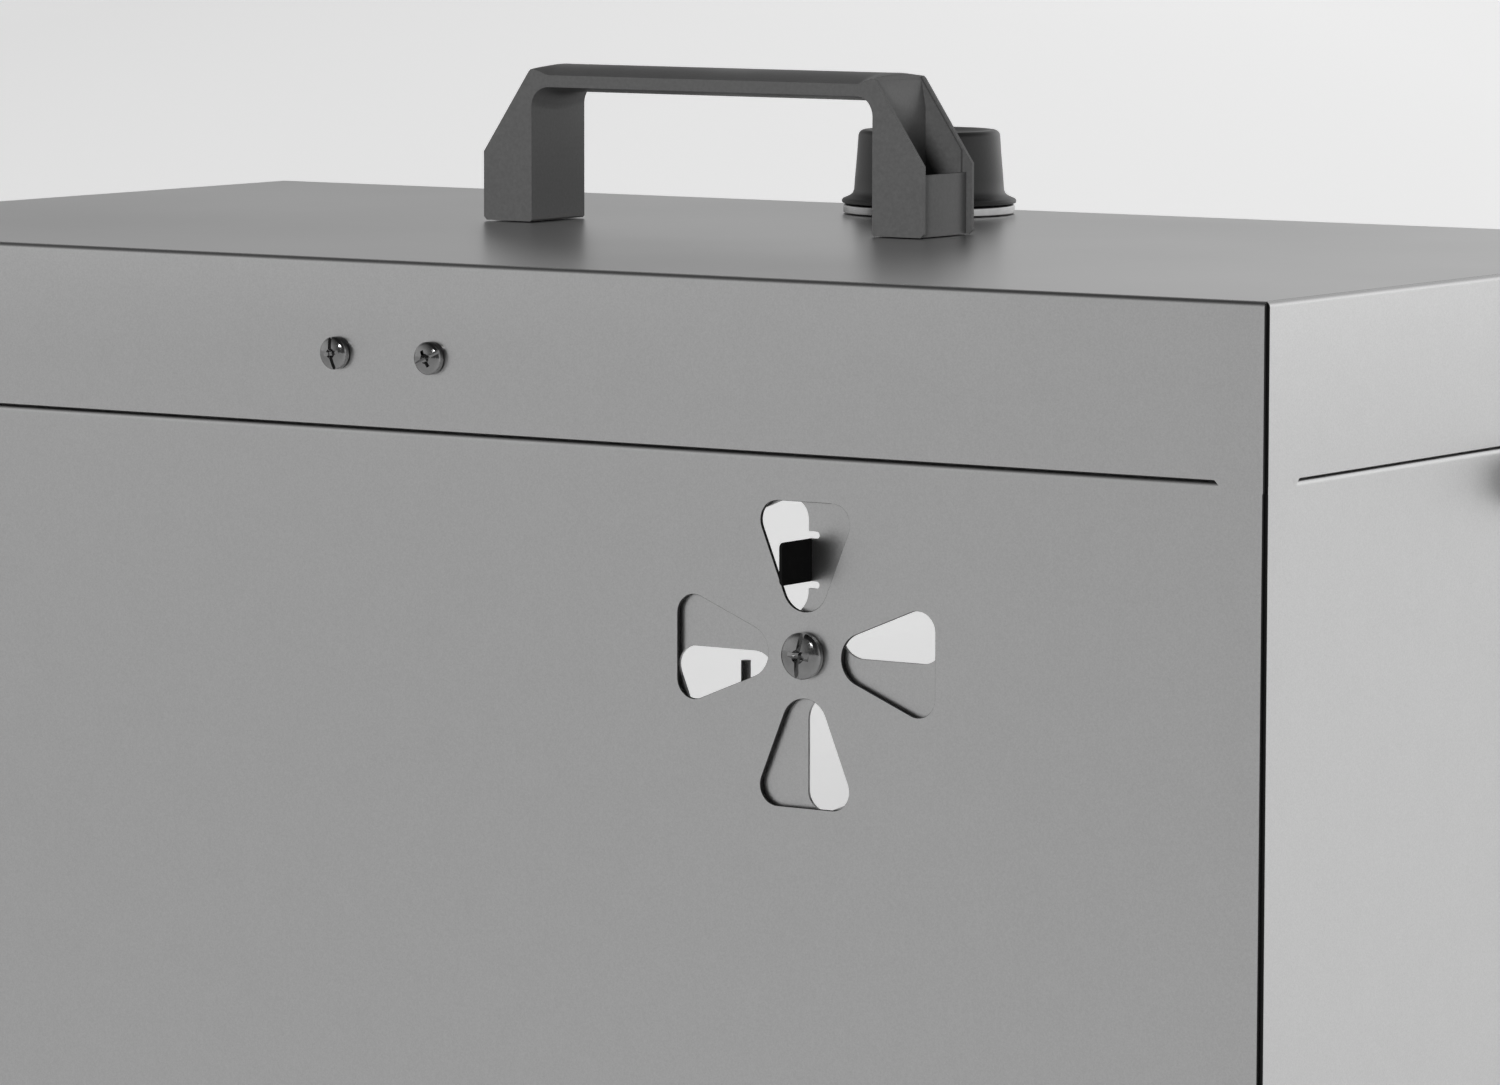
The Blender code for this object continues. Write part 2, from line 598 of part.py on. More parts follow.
# ---------------------------------------------------------------- damper
def make_damper():
    centre = (DAMPER_X, FRONT + DISC_SET_BACK + DISC_SHEET / 2, DAMPER_Z)
    holes = [petal(index * pi / 2 + PETAL_HALF) for index in range(4)]
    disc = as_mesh(flat("damper_disc", [circle(DISC_RADIUS, 48), *holes, circle(0.0023, 16)], DISC_SHEET,
                        STEEL, place=centre, turn=(pi / 2, 0, 0)))
    edge = DAMPER_X
    back = FRONT + DISC_SET_BACK + DISC_SHEET - DISC_SHEET / 4
    tip = FRONT + DISC_SET_BACK - TAB_REACH
    tab = box("tab_union", (edge + 0.0001, tip, DAMPER_Z + TAB_INNER),
              (edge + 0.0001 + DISC_SHEET, back, DAMPER_Z + TAB_OUTER), None, CUTTERS)
    round_edges(tab, 0.0002, 1)
    for name, low in (("inner", TAB_INNER - TAB_NOTCH), ("outer", TAB_OUTER)):
        cut(disc, box(f"tab_notch_cutter_{name}", (edge - 0.0010, FRONT, DAMPER_Z + low),
                      (edge + TAB_NOTCH_DEPTH, FRONT + 0.004, DAMPER_Z + low + TAB_NOTCH), None, CUTTERS))
    unite(disc, tab)
    screw("damper_screw", (DAMPER_X, FRONT - GAP, DAMPER_Z), "-Y", 0.0055, 0.0030, 0.0020, 0.0130, 20)
    behind = FRONT + DISC_SET_BACK + DISC_SHEET + GAP
    ring("damper_washer", 0.0023, 0.0055, 0.0008, (DAMPER_X, behind, DAMPER_Z), "Y", ZINC, 16)
    nut("damper_nut", 0.0023, 0.0035, 0.0032, (DAMPER_X, behind + 0.0008 + GAP, DAMPER_Z), "Y")


# ---------------------------------------------------------------- fan
def make_fan():
    outer = LEFT + SHEET + GAP
    inner = outer + FAN_THICK
    half = FAN_SIZE / 2
    frame = box("fan_frame", (outer, -half, FAN_Z - half), (outer + FAN_FLANGE, half, FAN_Z + half), CASTING)
    unite(frame,
          rod("fan_barrel_union", (outer + 0.001, 0, FAN_Z), (inner - 0.001, 0, FAN_Z), half - 0.0003, 40,
              None, CUTTERS),
          box("fan_flange_union", (inner - FAN_FLANGE, -half, FAN_Z - half), (inner, half, FAN_Z + half),
              None, CUTTERS))
    cut(frame, rod("fan_bore_cutter", (outer - 0.002, 0, FAN_Z), (inner + 0.002, 0, FAN_Z), FAN_BORE, 40,
                   None, CUTTERS))
    spider = outer + 0.004
    unite(frame, rod("fan_hub_union", (outer, 0, FAN_Z), (spider, 0, FAN_Z), 0.020, 24, None, CUTTERS))
    centre = Vector((outer + 0.0021, 0, FAN_Z))
    for index in range(4):
        turn = pi / 4 + index * pi / 2
        away = Vector((0, cos(turn), sin(turn)))
        unite(frame, rod(f"fan_strut_union_{index}", centre + 0.017 * away, centre + (FAN_BORE + 0.001) * away,
                         0.0018, 6, None, CUTTERS))
    for side in (-1, 1):
        for level in (-1, 1):
            spot = Vector((outer, side * FAN_HOLE, FAN_Z + level * FAN_HOLE))
            cut(frame, rod(f"fan_frame_hole_cutter_{side}_{level}", spot - Vector((0.001, 0, 0)),
                           spot + Vector((FAN_FLANGE + 0.001, 0, 0)), 0.0023, 12, None, CUTTERS))

    motor_end = spider + GAP + 0.022
    rod("fan_motor", (spider + GAP, 0, FAN_Z), (motor_end, 0, FAN_Z), 0.0190, 24, CASTING)
    centre = (spider + 0.015, 0, FAN_Z)
    cap = motor_end + 0.0010 - centre[0]
    rim = spider + 0.0015 - centre[0]
    impeller = turned("impeller",
                      [(0, cap + 0.0022), (0.0210, cap + 0.0022), (0.0225, cap + 0.0008), (0.0225, rim),
                       (0.0200, rim), (0.0200, cap), (0, cap)], centre, BLACK_PLASTIC, "X", 30)
    for index in range(FAN_BLADES):
        spread = Matrix.Rotation(2 * pi * index / FAN_BLADES, 4, "X")
        pitch = Matrix.Rotation(radians(38), 4, "Z")
        shift = Matrix.Translation((0, 0, 0.0380))
        size = Matrix.Diagonal((0.0016, 0.0300, 0.0340, 1))
        lean = Matrix.Translation((0.0008, 0, 0))
        shape = bmesh.new()
        bmesh.ops.create_cube(shape, size=1, matrix=spread @ lean @ shift @ Matrix.Rotation(pi / 2, 4, "Z")
                              @ pitch @ size)
        mesh = bpy.data.meshes.new(f"blade_union_{index}")
        shape.to_mesh(mesh)
        shape.free()
        unite(impeller, add_object(mesh.name, mesh, None, CUTTERS, centre))

    guard_x = LEFT - 0.0016
    ring_x = guard_x - 0.0014
    guard = None
    for index, radius in enumerate((0.016, 0.030, 0.044)):
        loop = torus(f"guard_ring_union_{index}", radius, 0.0010, (ring_x, 0, FAN_Z), CUTTERS)
        if guard is None:
            guard = loop
            guard.name = "fan_guard"
            CUTTERS.objects.unlink(guard)
            PARTS.objects.link(guard)
            guard.hide_render = False
            guard.display_type = "TEXTURED"
            guard.data.materials.append(ZINC)
        else:
            unite(guard, loop)
    for index in range(2):
        turn = pi / 4 + index * pi / 2
        reach = Vector((0, cos(turn), sin(turn))) * (FAN_HOLE * 2 ** 0.5 - 0.0036)
        centre = Vector((guard_x, 0, FAN_Z))
        unite(guard, rod(f"guard_wire_union_{index}", centre - reach, centre + reach, 0.0011, 8, None, CUTTERS))
    for side in (-1, 1):
        for level in (-1, 1):
            name = ("left" if side < 0 else "right") + ("_lower" if level < 0 else "_upper")
            spot = Vector((guard_x, side * FAN_HOLE, FAN_Z + level * FAN_HOLE))
            lift = Vector((0.0010, 0, 0))
            unite(guard, rod(f"guard_eye_union_{name}", spot - lift, spot + lift, 0.0048, 12, None, CUTTERS))
            cut(guard, rod(f"guard_eye_cutter_{name}", spot - 2 * lift, spot + 2 * lift, 0.0023, 12, None,
                           CUTTERS))
            screw(f"fan_screw_{name}", (guard_x - 0.0010 - GAP, spot.y, spot.z), "-X", 0.0036,
                  FAN_SCREW_HEAD, 0.0020, 0.0085, 12)


def torus(name, radius, wire, place, group):
    """A wire loop in the YZ plane."""
    shape = bmesh.new()
    bmesh.ops.create_circle(shape, segments=6, radius=wire, matrix=Matrix.Translation((0, radius, 0)))
    bmesh.ops.spin(shape, geom=shape.verts[:] + shape.edges[:], cent=(0, 0, 0), axis=(1, 0, 0),
                   angle=2 * pi, steps=32, use_merge=True)
    bmesh.ops.remove_doubles(shape, verts=shape.verts, dist=0.000001)
    bmesh.ops.recalc_face_normals(shape, faces=shape.faces)
    mesh = bpy.data.meshes.new(name)
    shape.to_mesh(mesh)
    shape.free()
    return add_object(name, mesh, None, group, place)


# ---------------------------------------------------------------- cable gland
def make_gland():
    bore = 0.0030
    thread = 0.0050
    cap = 0.0066
    collar = 0.0075
    turned("cable_gland",
           [(bore, GLAND_REACH), (0.0045, GLAND_REACH), (cap, GLAND_REACH - 0.0040), (cap, 0.0060),
            (collar, 0.0055), (collar, GAP), (thread, GAP), (thread, -0.0090), (bore, -0.0090)],
           (RIGHT, GLAND_Y, TOP - GLAND_DROP), BLACK_PLASTIC, "X")
    nut("gland_nut", thread + GAP, 0.0070, 0.0035, (RIGHT - SHEET - GAP, GLAND_Y, TOP - GLAND_DROP), "-X",
        BLACK_PLASTIC)


# ---------------------------------------------------------------- door
def make_door():
    axis = (HINGE_X, HINGE_Y, 0)
    left = DOOR_LEFT - PANE_OVERLAP
    low = DOOR_BOTTOM - PANE_OVERLAP
    high = DOOR_TOP + 0.006
    edge = rounded_rectangle(left - HINGE_X, low, PANE_RIGHT - HINGE_X, high, 0.006)
    latch_z = TOP - LATCH_DROP
    spindle_hole = circle(0.0033, 16, LATCH_X - HINGE_X, latch_z)
    flat("door_pane", [edge, spindle_hole], PANE_THICK, CLEAR,
         place=(HINGE_X, (PANE_INNER + PANE_OUTER) / 2, 0), turn=(pi / 2, 0, 0))

    for name, drop in zip(("upper", "lower"), HINGE_DROPS):
        middle = TOP - drop
        half = HINGE_LENGTH / 2
        knuckle = half / 2
        fixed = box(f"hinge_leaf_fixed_{name}", (HINGE_X + 0.0040, BACK + GAP, middle - half),
                    (HINGE_X + 0.0140, HINGE_Y - 0.0008, middle + half), ZINC)
        for side in (-1, 1):
            ends = sorted((middle + side * (knuckle + GAP), middle + side * half))
            unite(fixed,
                  rod(f"fixed_knuckle_union_{name}_{side}", (HINGE_X, HINGE_Y, ends[0]),
                      (HINGE_X, HINGE_Y, ends[1]), KNUCKLE_RADIUS, 16, None, CUTTERS),
                  box(f"fixed_arm_union_{name}_{side}", (HINGE_X + 0.0005, HINGE_Y - 0.0032, ends[0]),
                      (HINGE_X + 0.0050, HINGE_Y - 0.0010, ends[1]), None, CUTTERS))
        bore = rod(f"hinge_bore_cutter_{name}", (HINGE_X, HINGE_Y, middle - half - 0.002),
                   (HINGE_X, HINGE_Y, middle + half + 0.002), HINGE_PIN_RADIUS + GAP, 12, None, CUTTERS)
        cut(fixed, bore)
        moving = box(f"hinge_leaf_door_{name}", (HINGE_X - 0.0260, PANE_OUTER + GAP, middle - half),
                     (HINGE_X - 0.0042, HINGE_Y, middle + half), ZINC, PARTS, axis)
        unite(moving,
              rod(f"door_knuckle_union_{name}", (HINGE_X, HINGE_Y, middle - knuckle),
                  (HINGE_X, HINGE_Y, middle + knuckle), KNUCKLE_RADIUS, 16, None, CUTTERS),
              box(f"door_arm_union_{name}", (HINGE_X - 0.0050, PANE_OUTER + GAP, middle - knuckle),
                  (HINGE_X - 0.0005, HINGE_Y - 0.0003, middle + knuckle), None, CUTTERS))
        cut(moving, bore)
        rod(f"hinge_pin_{name}", (HINGE_X, HINGE_Y, middle - half - 0.0010),
            (HINGE_X, HINGE_Y, middle + half + 0.0010), HINGE_PIN_RADIUS, 12, ZINC)

    pivot = (LATCH_X, PANE_OUTER, latch_z)
    lever_y = BACK + LEVER_OUT
    lever = rod("latch_lever", (LATCH_X, PANE_OUTER + GAP, latch_z), (LATCH_X, Y_HIGH, latch_z), 0.0070, 24,
                BLACK_PLASTIC, PARTS, pivot)
    unite(lever, rod("lever_bar_union", (LATCH_X, lever_y, latch_z), (LATCH_X, lever_y, latch_z + LEVER_REACH),
                     LEVER_RADIUS, 12, None, CUTTERS))
    blade_high = BACK - SHEET - 0.0006
    blade_low = blade_high - 0.0020
    rod("latch_spindle", (LATCH_X, blade_high + GAP, latch_z), (LATCH_X, PANE_OUTER, latch_z), 0.0030, 16,
        ZINC, PARTS, pivot)
    box("latch_blade", (LATCH_X - 0.0050, blade_low, latch_z - 0.0270),
        (LATCH_X + 0.0050, blade_high, latch_z + 0.0060), ZINC, PARTS, pivot)


make_walls()
make_hood()
make_inner_sheets()
make_feet()
make_handle()
make_speed_control()
make_damper()
make_fan()
make_gland()
make_door()
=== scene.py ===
# %% [markdown]
# # A fan-ventilated steel cabinet
#
# The cabinet is folded from 1 mm sheet: four walls, a hood that closes the top, a damper that
# lets air out, a fan in the end wall and a clear door at the back. The solid model already
# fixes every size and every place. This lesson builds the fine surfaces around it: rounded
# bends, cut edges, screw recesses, moulded lips, and the finish of each material.

# %% Load the fixed frame
import json
from math import asin, cos, pi, radians, sin

import bmesh
import bpy
from mathutils import Matrix, Vector


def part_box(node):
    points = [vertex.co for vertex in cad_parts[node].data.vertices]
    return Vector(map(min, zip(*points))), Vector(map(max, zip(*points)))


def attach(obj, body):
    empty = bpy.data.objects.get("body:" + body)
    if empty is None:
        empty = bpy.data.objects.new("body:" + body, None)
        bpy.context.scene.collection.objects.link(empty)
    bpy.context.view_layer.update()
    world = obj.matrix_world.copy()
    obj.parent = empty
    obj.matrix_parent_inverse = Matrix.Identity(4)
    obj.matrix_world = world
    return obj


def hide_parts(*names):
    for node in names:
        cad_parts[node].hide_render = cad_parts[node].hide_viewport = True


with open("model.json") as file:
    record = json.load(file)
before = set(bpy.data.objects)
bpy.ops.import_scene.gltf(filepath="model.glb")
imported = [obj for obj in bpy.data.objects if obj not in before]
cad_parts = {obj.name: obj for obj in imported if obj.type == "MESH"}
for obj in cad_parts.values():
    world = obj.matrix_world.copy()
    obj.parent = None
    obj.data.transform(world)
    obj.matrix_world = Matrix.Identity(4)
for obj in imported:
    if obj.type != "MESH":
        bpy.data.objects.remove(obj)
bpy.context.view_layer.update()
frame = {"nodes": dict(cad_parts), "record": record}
nodes = frame["nodes"]

# %% [markdown]
# Everything is placed from the boxes of the solid pieces, so a change in the design moves the
# fine pieces with it. The hood gives the cabinet's outer faces, and a few small sizes that a box
# can't give, such as bend radii, are named here.

# %% Read the main sizes
hood_low, hood_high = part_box("hood")
LEFT, FRONT, RIGHT, BACK = hood_low.x, hood_low.y, hood_high.x, hood_high.y
TOP = hood_high.z
MIDDLE_X = (LEFT + RIGHT) / 2
MIDDLE_Y = (FRONT + BACK) / 2
WALL_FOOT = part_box("damper_wall")[0].z
LENGTH = RIGHT - LEFT
DEPTH = BACK - FRONT
MM = 0.001
HAIR = MM / 100                 # two places nearer than this count as one
WELD_NEAR = MM / 500            # points nearer than this are merged
SHEET = 1.0 * MM
SEAM = TOP - 40.5 * MM          # lower edge of the hood's skirt
SEAM_GAP = 0.2 * MM
FOLD = 1.5 * MM                 # outer radius of the walls' folded top edges
FLANGE = 9.0 * MM
BEND_STEPS = 6                  # faces in a quarter turn of bent sheet
FOLD_TOP = SEAM - SEAM_GAP
BEND_LINE = FOLD_TOP - FOLD
EAR_DROP = 2.3 * MM             # how much lower the hood reaches at its corners
LONG_EAR = 11.0 * MM            # where the seam ends, from the corner
SHORT_EAR = 12.6 * MM
HOOD_BEND = 1.3 * MM
HOOD_SLIT = 0.65 * MM           # the long sides stop this far from the corner
WALL_SLIT = 0.80 * MM
SLIT_SPREAD = 0.35 * MM         # how much wider the slit is at the cabinet's foot
END_SETBACK = 1.08 * MM         # the end walls start behind the long sides' sheet
CUT = 0.09 * MM                 # the rounding that tumbling leaves on a cut edge
SCREW_HOLE = 2.3 * MM


def middle(name):
    """The middle of a solid piece's box, as x, y and z."""
    low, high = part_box(name)
    return tuple((first + second) / 2 for first, second in zip(low, high))


print("cabinet", round(LENGTH, 4), "by", round(DEPTH, 4), "top at", round(TOP, 4))

# %% [markdown]
# ## The camera
#
# A long lens from a little above the top keeps the edges almost parallel. The camera is placed
# from the near top corner of the hood, at a distance that is a multiple of a unit length, and it
# is turned by three angles: yaw, tilt and a trace of roll.

# %% Make the camera
LENS = 170.5                    # on a sensor 36 mm wide
REACH = 1.576
AWAY = Vector((0.49592, -0.86914, 0.07145))
YAW, TILT, ROLL = radians(33.88), radians(90 - 6.04), radians(0.089)
near_corner = Vector((RIGHT, FRONT, TOP))
camera_data = bpy.data.cameras.new("camera")
camera_data.sensor_width = 36
camera_data.lens = LENS
camera_data.clip_end = 100
camera = bpy.data.objects.new("camera", camera_data)
bpy.context.scene.collection.objects.link(camera)
turn = Matrix.Rotation(YAW, 4, "Z") @ Matrix.Rotation(TILT, 4, "X") @ Matrix.Rotation(ROLL, 4, "Z")
camera.matrix_world = Matrix.Translation(near_corner + REACH * AWAY) @ turn
bpy.context.scene.camera = camera
print("camera at", [round(value, 3) for value in camera.location])

# %% [markdown]
# ## Materials
#
# Each finish is a small node tree. Object coordinates are in metres on every piece, so a noise
# of scale 1500 has grains of about 0.7 mm wherever it is used. The helpers add the nodes that all
# finishes share: a fine grain and a broad unevenness that drive roughness, colour and bump.

# %% Helpers for finishes
def node_tree(name):
    made = bpy.data.materials.new(name)
    made.use_nodes = True
    tree = made.node_tree
    shader = tree.nodes["Principled BSDF"]
    place = tree.nodes.new("ShaderNodeTexCoord")
    return made, tree, shader, place.outputs["Object"]


def noise(tree, place, scale, detail=2.0, rough=0.5, stretch=None):
    if stretch:
        mapping = tree.nodes.new("ShaderNodeMapping")
        mapping.inputs["Scale"].default_value = stretch
        tree.links.new(place, mapping.inputs["Vector"])
        place = mapping.outputs["Vector"]
    made = tree.nodes.new("ShaderNodeTexNoise")
    made.inputs["Scale"].default_value = scale
    made.inputs["Detail"].default_value = detail
    made.inputs["Roughness"].default_value = rough
    tree.links.new(place, made.inputs["Vector"])
    return made.outputs["Fac"]


def spread(tree, value, low, high, start=0.3, end=0.7, smooth=False):
    """Maps a value that lies between start and end, as most of a noise does, to low and high."""
    made = tree.nodes.new("ShaderNodeMapRange")
    if smooth:
        made.interpolation_type = "SMOOTHSTEP"
    made.inputs["From Min"].default_value = start
    made.inputs["From Max"].default_value = end
    made.inputs["To Min"].default_value = low
    made.inputs["To Max"].default_value = high
    tree.links.new(value, made.inputs["Value"])
    return made.outputs["Result"]


def bump(tree, height, distance, before=None):
    made = tree.nodes.new("ShaderNodeBump")
    made.inputs["Distance"].default_value = distance
    made.inputs["Strength"].default_value = 1.0
    tree.links.new(height, made.inputs["Height"])
    if before:
        tree.links.new(before, made.inputs["Normal"])
    return made.outputs["Normal"]


def grey(tree, value):
    """A grey colour from a single value."""
    made = tree.nodes.new("ShaderNodeCombineColor")
    for channel in ("Red", "Green", "Blue"):
        tree.links.new(value, made.inputs[channel])
    return made.outputs["Color"]


def arithmetic(tree, how, *values):
    """One math node. Each value is another node's output or a plain number."""
    made = tree.nodes.new("ShaderNodeMath")
    made.operation = how
    for value, socket in zip(values, made.inputs):
        if isinstance(value, bpy.types.NodeSocket):
            tree.links.new(value, socket)
        else:
            socket.default_value = value
    return made.outputs["Value"]


def along(tree, place, way):
    """How far a place, or a direction, lies along the given way."""
    made = tree.nodes.new("ShaderNodeVectorMath")
    made.operation = "DOT_PRODUCT"
    made.inputs[1].default_value = way
    tree.links.new(place, made.inputs[0])
    return made.outputs["Value"]


print("helpers for finishes ready")

# %% [markdown]
# The sheet is bead-blasted steel: a metal whose gloss is broken up by a fine dull grain. Real
# sheet is never perfectly even, so a broad noise moves its roughness and colour a little, and a
# very shallow broad bump lets reflections wander. The damper's disc has a coarser grain and the
# sheets inside are duller. The laser-cut edges are dark and rough: partly the cut face's own colour,
# and partly painted shade, which draws a thin dark line round every edge of the sheet.

# %% Satin steel sheet
def satin_steel(name, tone=0.60, roughness=0.30, grain=1.0):
    made, tree, shader, place = node_tree(name)
    fine = noise(tree, place, 2600, 2, 0.7)
    broad = noise(tree, place, 9, 2, 0.5)
    blotch = noise(tree, place, 90, 3, 0.6)
    mixed = arithmetic(tree, "MULTIPLY_ADD", fine, 0.8, spread(tree, blotch, 0.08, 0.12))
    shade = spread(tree, mixed, tone * 0.92, tone * 1.08)
    tree.links.new(grey(tree, shade), shader.inputs["Base Color"])
    tree.links.new(spread(tree, broad, roughness - 0.015, roughness + 0.015),
                   shader.inputs["Roughness"])
    rolling = bump(tree, broad, 0.00003)
    tree.links.new(bump(tree, fine, 0.000012 * grain, rolling), shader.inputs["Normal"])
    shader.inputs["Metallic"].default_value = 1.0
    return made


STEEL = satin_steel("satin_steel", 0.60, 0.295, 0.6)
INNER_STEEL = satin_steel("inner_steel", 0.50, 0.42)
DISC_STEEL = satin_steel("disc_steel", 0.60, 0.30, 2.2)
# The cut-edge finish is near black: partly the cut face's own colour, partly painted shade that draws a
# thin dark line along every cut edge.
CUT_EDGE_AND_SHADE = satin_steel("cut_edge_and_shade", 0.045, 0.5, 3.0)
print("steel finishes made")

# %% [markdown]
# Zinc-plated hinges and wire are smooth and bright, with a little cloudiness. The screws are
# darker and glossier. Turned aluminium has rings from the lathe: a noise squeezed along one axis
# gives fine lines that run round the piece.

# %% Bright metals
def bright_metal(name, tone=0.72, roughness=0.16, scratch=(1, 1, 1)):
    made, tree, shader, place = node_tree(name)
    cloud = noise(tree, place, 420, 3, 0.6)
    lines = noise(tree, place, 1800, 2, 0.5, scratch)
    shade = spread(tree, cloud, tone * 0.9, tone * 1.06)
    tree.links.new(grey(tree, shade), shader.inputs["Base Color"])
    tree.links.new(spread(tree, lines, roughness - 0.04, roughness + 0.08),
                   shader.inputs["Roughness"])
    tree.links.new(bump(tree, lines, 0.000012), shader.inputs["Normal"])
    shader.inputs["Metallic"].default_value = 1.0
    return made


ZINC = bright_metal("bright_zinc")
CHROME = bright_metal("dark_chrome", 0.30, 0.11)
ALUMINIUM = bright_metal("turned_aluminium", 0.44, 0.30, (0.05, 0.05, 3.0))
print("bright metals made")

# %% [markdown]
# The handle, knob and gland are moulded in glass-filled nylon. Moulded plastic has a fine
# spark-eroded texture, which gives a soft sheen with a short-scale bump, and its roughness varies
# a little at random. Rubber, the fan's coated casting and the tab's near-black finish, which is
# painted shade, are made by the same function: only tone, gloss and texture differ.

# %% Moulded plastics and rubber
def moulded(name, tone, roughness=0.42, texture=1100, depth=0.00002, gloss=0.5):
    made, tree, shader, place = node_tree(name)
    fine = noise(tree, place, texture, 3, 0.6)
    broad = noise(tree, place, 30, 2, 0.5)
    shade = spread(tree, fine, tone * 0.88, tone * 1.12)
    tree.links.new(grey(tree, shade), shader.inputs["Base Color"])
    tree.links.new(spread(tree, broad, roughness - 0.05, roughness + 0.05),
                   shader.inputs["Roughness"])
    tree.links.new(bump(tree, fine, depth), shader.inputs["Normal"])
    shader.inputs["Specular IOR Level"].default_value = gloss
    return made


HANDLE_PLASTIC = moulded("handle_plastic", 0.056, 0.40)
KNOB_PLASTIC = moulded("knob_plastic", 0.010, 0.38, gloss=0.4)
BLACK_PLASTIC = moulded("black_plastic", 0.022, 0.40)
RUBBER = moulded("foot_rubber", 0.018, 0.75, 900, 0.00004, 0.3)
CASTING = moulded("coated_casting", 0.025, 0.5, 500, 0.00006)
# The tab's near-black, glossless finish is painted shade for the dark reflection of the bent tab.
TAB_PAINTED_SHADE = moulded("tab_painted_shade", 0.005, 0.6, 600, gloss=0.0)
print("plastic and rubber finishes made")

# %% [markdown]
# The circuit board is green solder resist over copper tracks. A noise that is squeezed along one
# axis and cut off sharply gives light bands like tracks, a little raised.

# %% Solder resist
BOARD, board_tree, board_shader, board_place = node_tree("board_resist")
tracks = noise(board_tree, board_place, 190, 1, 0.3, (1, 1, 5))
resist = board_tree.nodes.new("ShaderNodeCombineColor")
for channel, low, high in (("Red", 0.006, 0.020), ("Green", 0.060, 0.150), ("Blue", 0.020, 0.045)):
    board_tree.links.new(spread(board_tree, tracks, low, high, 0.47, 0.50), resist.inputs[channel])
board_tree.links.new(resist.outputs["Color"], board_shader.inputs["Base Color"])
board_tree.links.new(bump(board_tree, tracks, 0.00003), board_shader.inputs["Normal"])
board_shader.inputs["Roughness"].default_value = 0.28
print("board finish made")

# %% [markdown]
# The door is clear acrylic. It is a real refracting solid, so its faces show thin reflections and
# its edges turn darker by themselves.

# %% Clear acrylic
CLEAR, clear_tree, clear_shader, clear_place = node_tree("clear_acrylic")
for socket, value in (("Transmission Weight", 1.0), ("Base Color", (1, 1, 1, 1)), ("IOR", 1.49),
                      ("Specular IOR Level", 0.15)):
    clear_shader.inputs[socket].default_value = value
haze = noise(clear_tree, clear_place, 90, 2, 0.5)
clear_tree.links.new(spread(clear_tree, haze, 0.0, 0.03), clear_shader.inputs["Roughness"])
print("acrylic made")

# %% [markdown]
# ## Modelling helpers
#
# A piece is shaped in a bmesh, then handed over: it gets its name and finish, it rides on
# the body that carries it, and it takes the place of its plain solid. Bend radii are modelled.
# A fine bevel softens the other edges: on plastic and rubber it is the mould's own radius, and on
# sheet, where it is the edge that the laser cut, it gets the dark cut-edge finish, which is partly
# painted shade.

# %% Hand a shape over as a finished piece
SMOOTH_ANGLE = 35


def hand_over(shape, name, body, finish, replaced=(), edge=0.0, edge_steps=2, sheet=0.0,
              edge_angle=40):
    mesh = bpy.data.meshes.new(name)
    shape.to_mesh(mesh)
    shape.free()
    mesh.materials.append(finish)
    mesh.shade_smooth()
    mesh.set_sharp_from_angle(angle=radians(SMOOTH_ANGLE))
    piece = bpy.data.objects.new(name, mesh)
    bpy.context.scene.collection.objects.link(piece)
    # On sheet, the rims and the bevel take the near-black cut-edge finish, which is partly painted
    # shade.
    if sheet:
        mesh.materials.append(CUT_EDGE_AND_SHADE)
        solid = piece.modifiers.new("sheet", "SOLIDIFY")
        solid.material_offset_rim = 1
        solid.thickness = sheet
        solid.offset = -1
        solid.use_even_offset = True
    if edge:
        rounding = piece.modifiers.new("edges", "BEVEL")
        rounding.width = edge
        rounding.segments = edge_steps
        rounding.limit_method = "ANGLE"
        rounding.angle_limit = radians(edge_angle)
        rounding.harden_normals = True
        rounding.material = 1 if sheet else -1
    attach(piece, body)
    if replaced:
        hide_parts(*replaced)


print("pieces can be handed over")

# %% [markdown]
# Three plain forms make most parts: a block between two corners, a round bar between two points,
# and a turned form, whose profile is spun about an axis as on a lathe.

# %% Blocks, bars and turned forms
def aimed(way):
    """The turn that points the Z axis the given way."""
    return Vector(way).to_track_quat("Z", "Y").to_matrix().to_4x4()


def cube(shape, low, high):
    """Adds a block between two corners."""
    size = Vector(high) - Vector(low)
    centre = (Vector(high) + Vector(low)) / 2
    place = Matrix.Translation(centre) @ Matrix.Diagonal((*size, 1))
    bmesh.ops.create_cube(shape, size=1, matrix=place)


def bar(shape, start, end, radius, sides=24, end_radius=None):
    """Adds a round bar between two points."""
    start, end = Vector(start), Vector(end)
    if end_radius is None:
        end_radius = radius
    place = Matrix.Translation((start + end) / 2) @ aimed(end - start)
    bmesh.ops.create_cone(shape, cap_ends=True, segments=sides, radius1=radius, radius2=end_radius,
                          depth=(end - start).length, matrix=place)


def lathe(shape, profile, place, way, steps=64):
    """Turns a profile of (radius, height) points about an axis through the place."""
    points = [shape.verts.new((radius, 0, height)) for radius, height in profile]
    edges = [shape.edges.new(pair) for pair in zip(points, points[1:])]
    if profile[0][0] > 0:
        edges.append(shape.edges.new((points[-1], points[0])))
    bmesh.ops.spin(shape, geom=points + edges, cent=(0, 0, 0), axis=(0, 0, 1), angle=2 * pi,
                   steps=steps, use_merge=True)
    bmesh.ops.remove_doubles(shape, verts=shape.verts, dist=WELD_NEAR)
    bmesh.ops.recalc_face_normals(shape, faces=shape.faces)
    bmesh.ops.transform(shape, matrix=Matrix.Translation(Vector(place)) @ aimed(way),
                        verts=shape.verts)


def in_mm(outline):
    """An outline that is written in millimetres, in metres."""
    return [(first * MM, second * MM) for first, second in outline]


print("blocks, bars and turned forms ready")

# %% [markdown]
# Flat parts start from an outline. Straight stretches need only their ends, and round ones are
# arcs. An outline with holes is filled as one sheet, and any face can be drawn out into a solid.

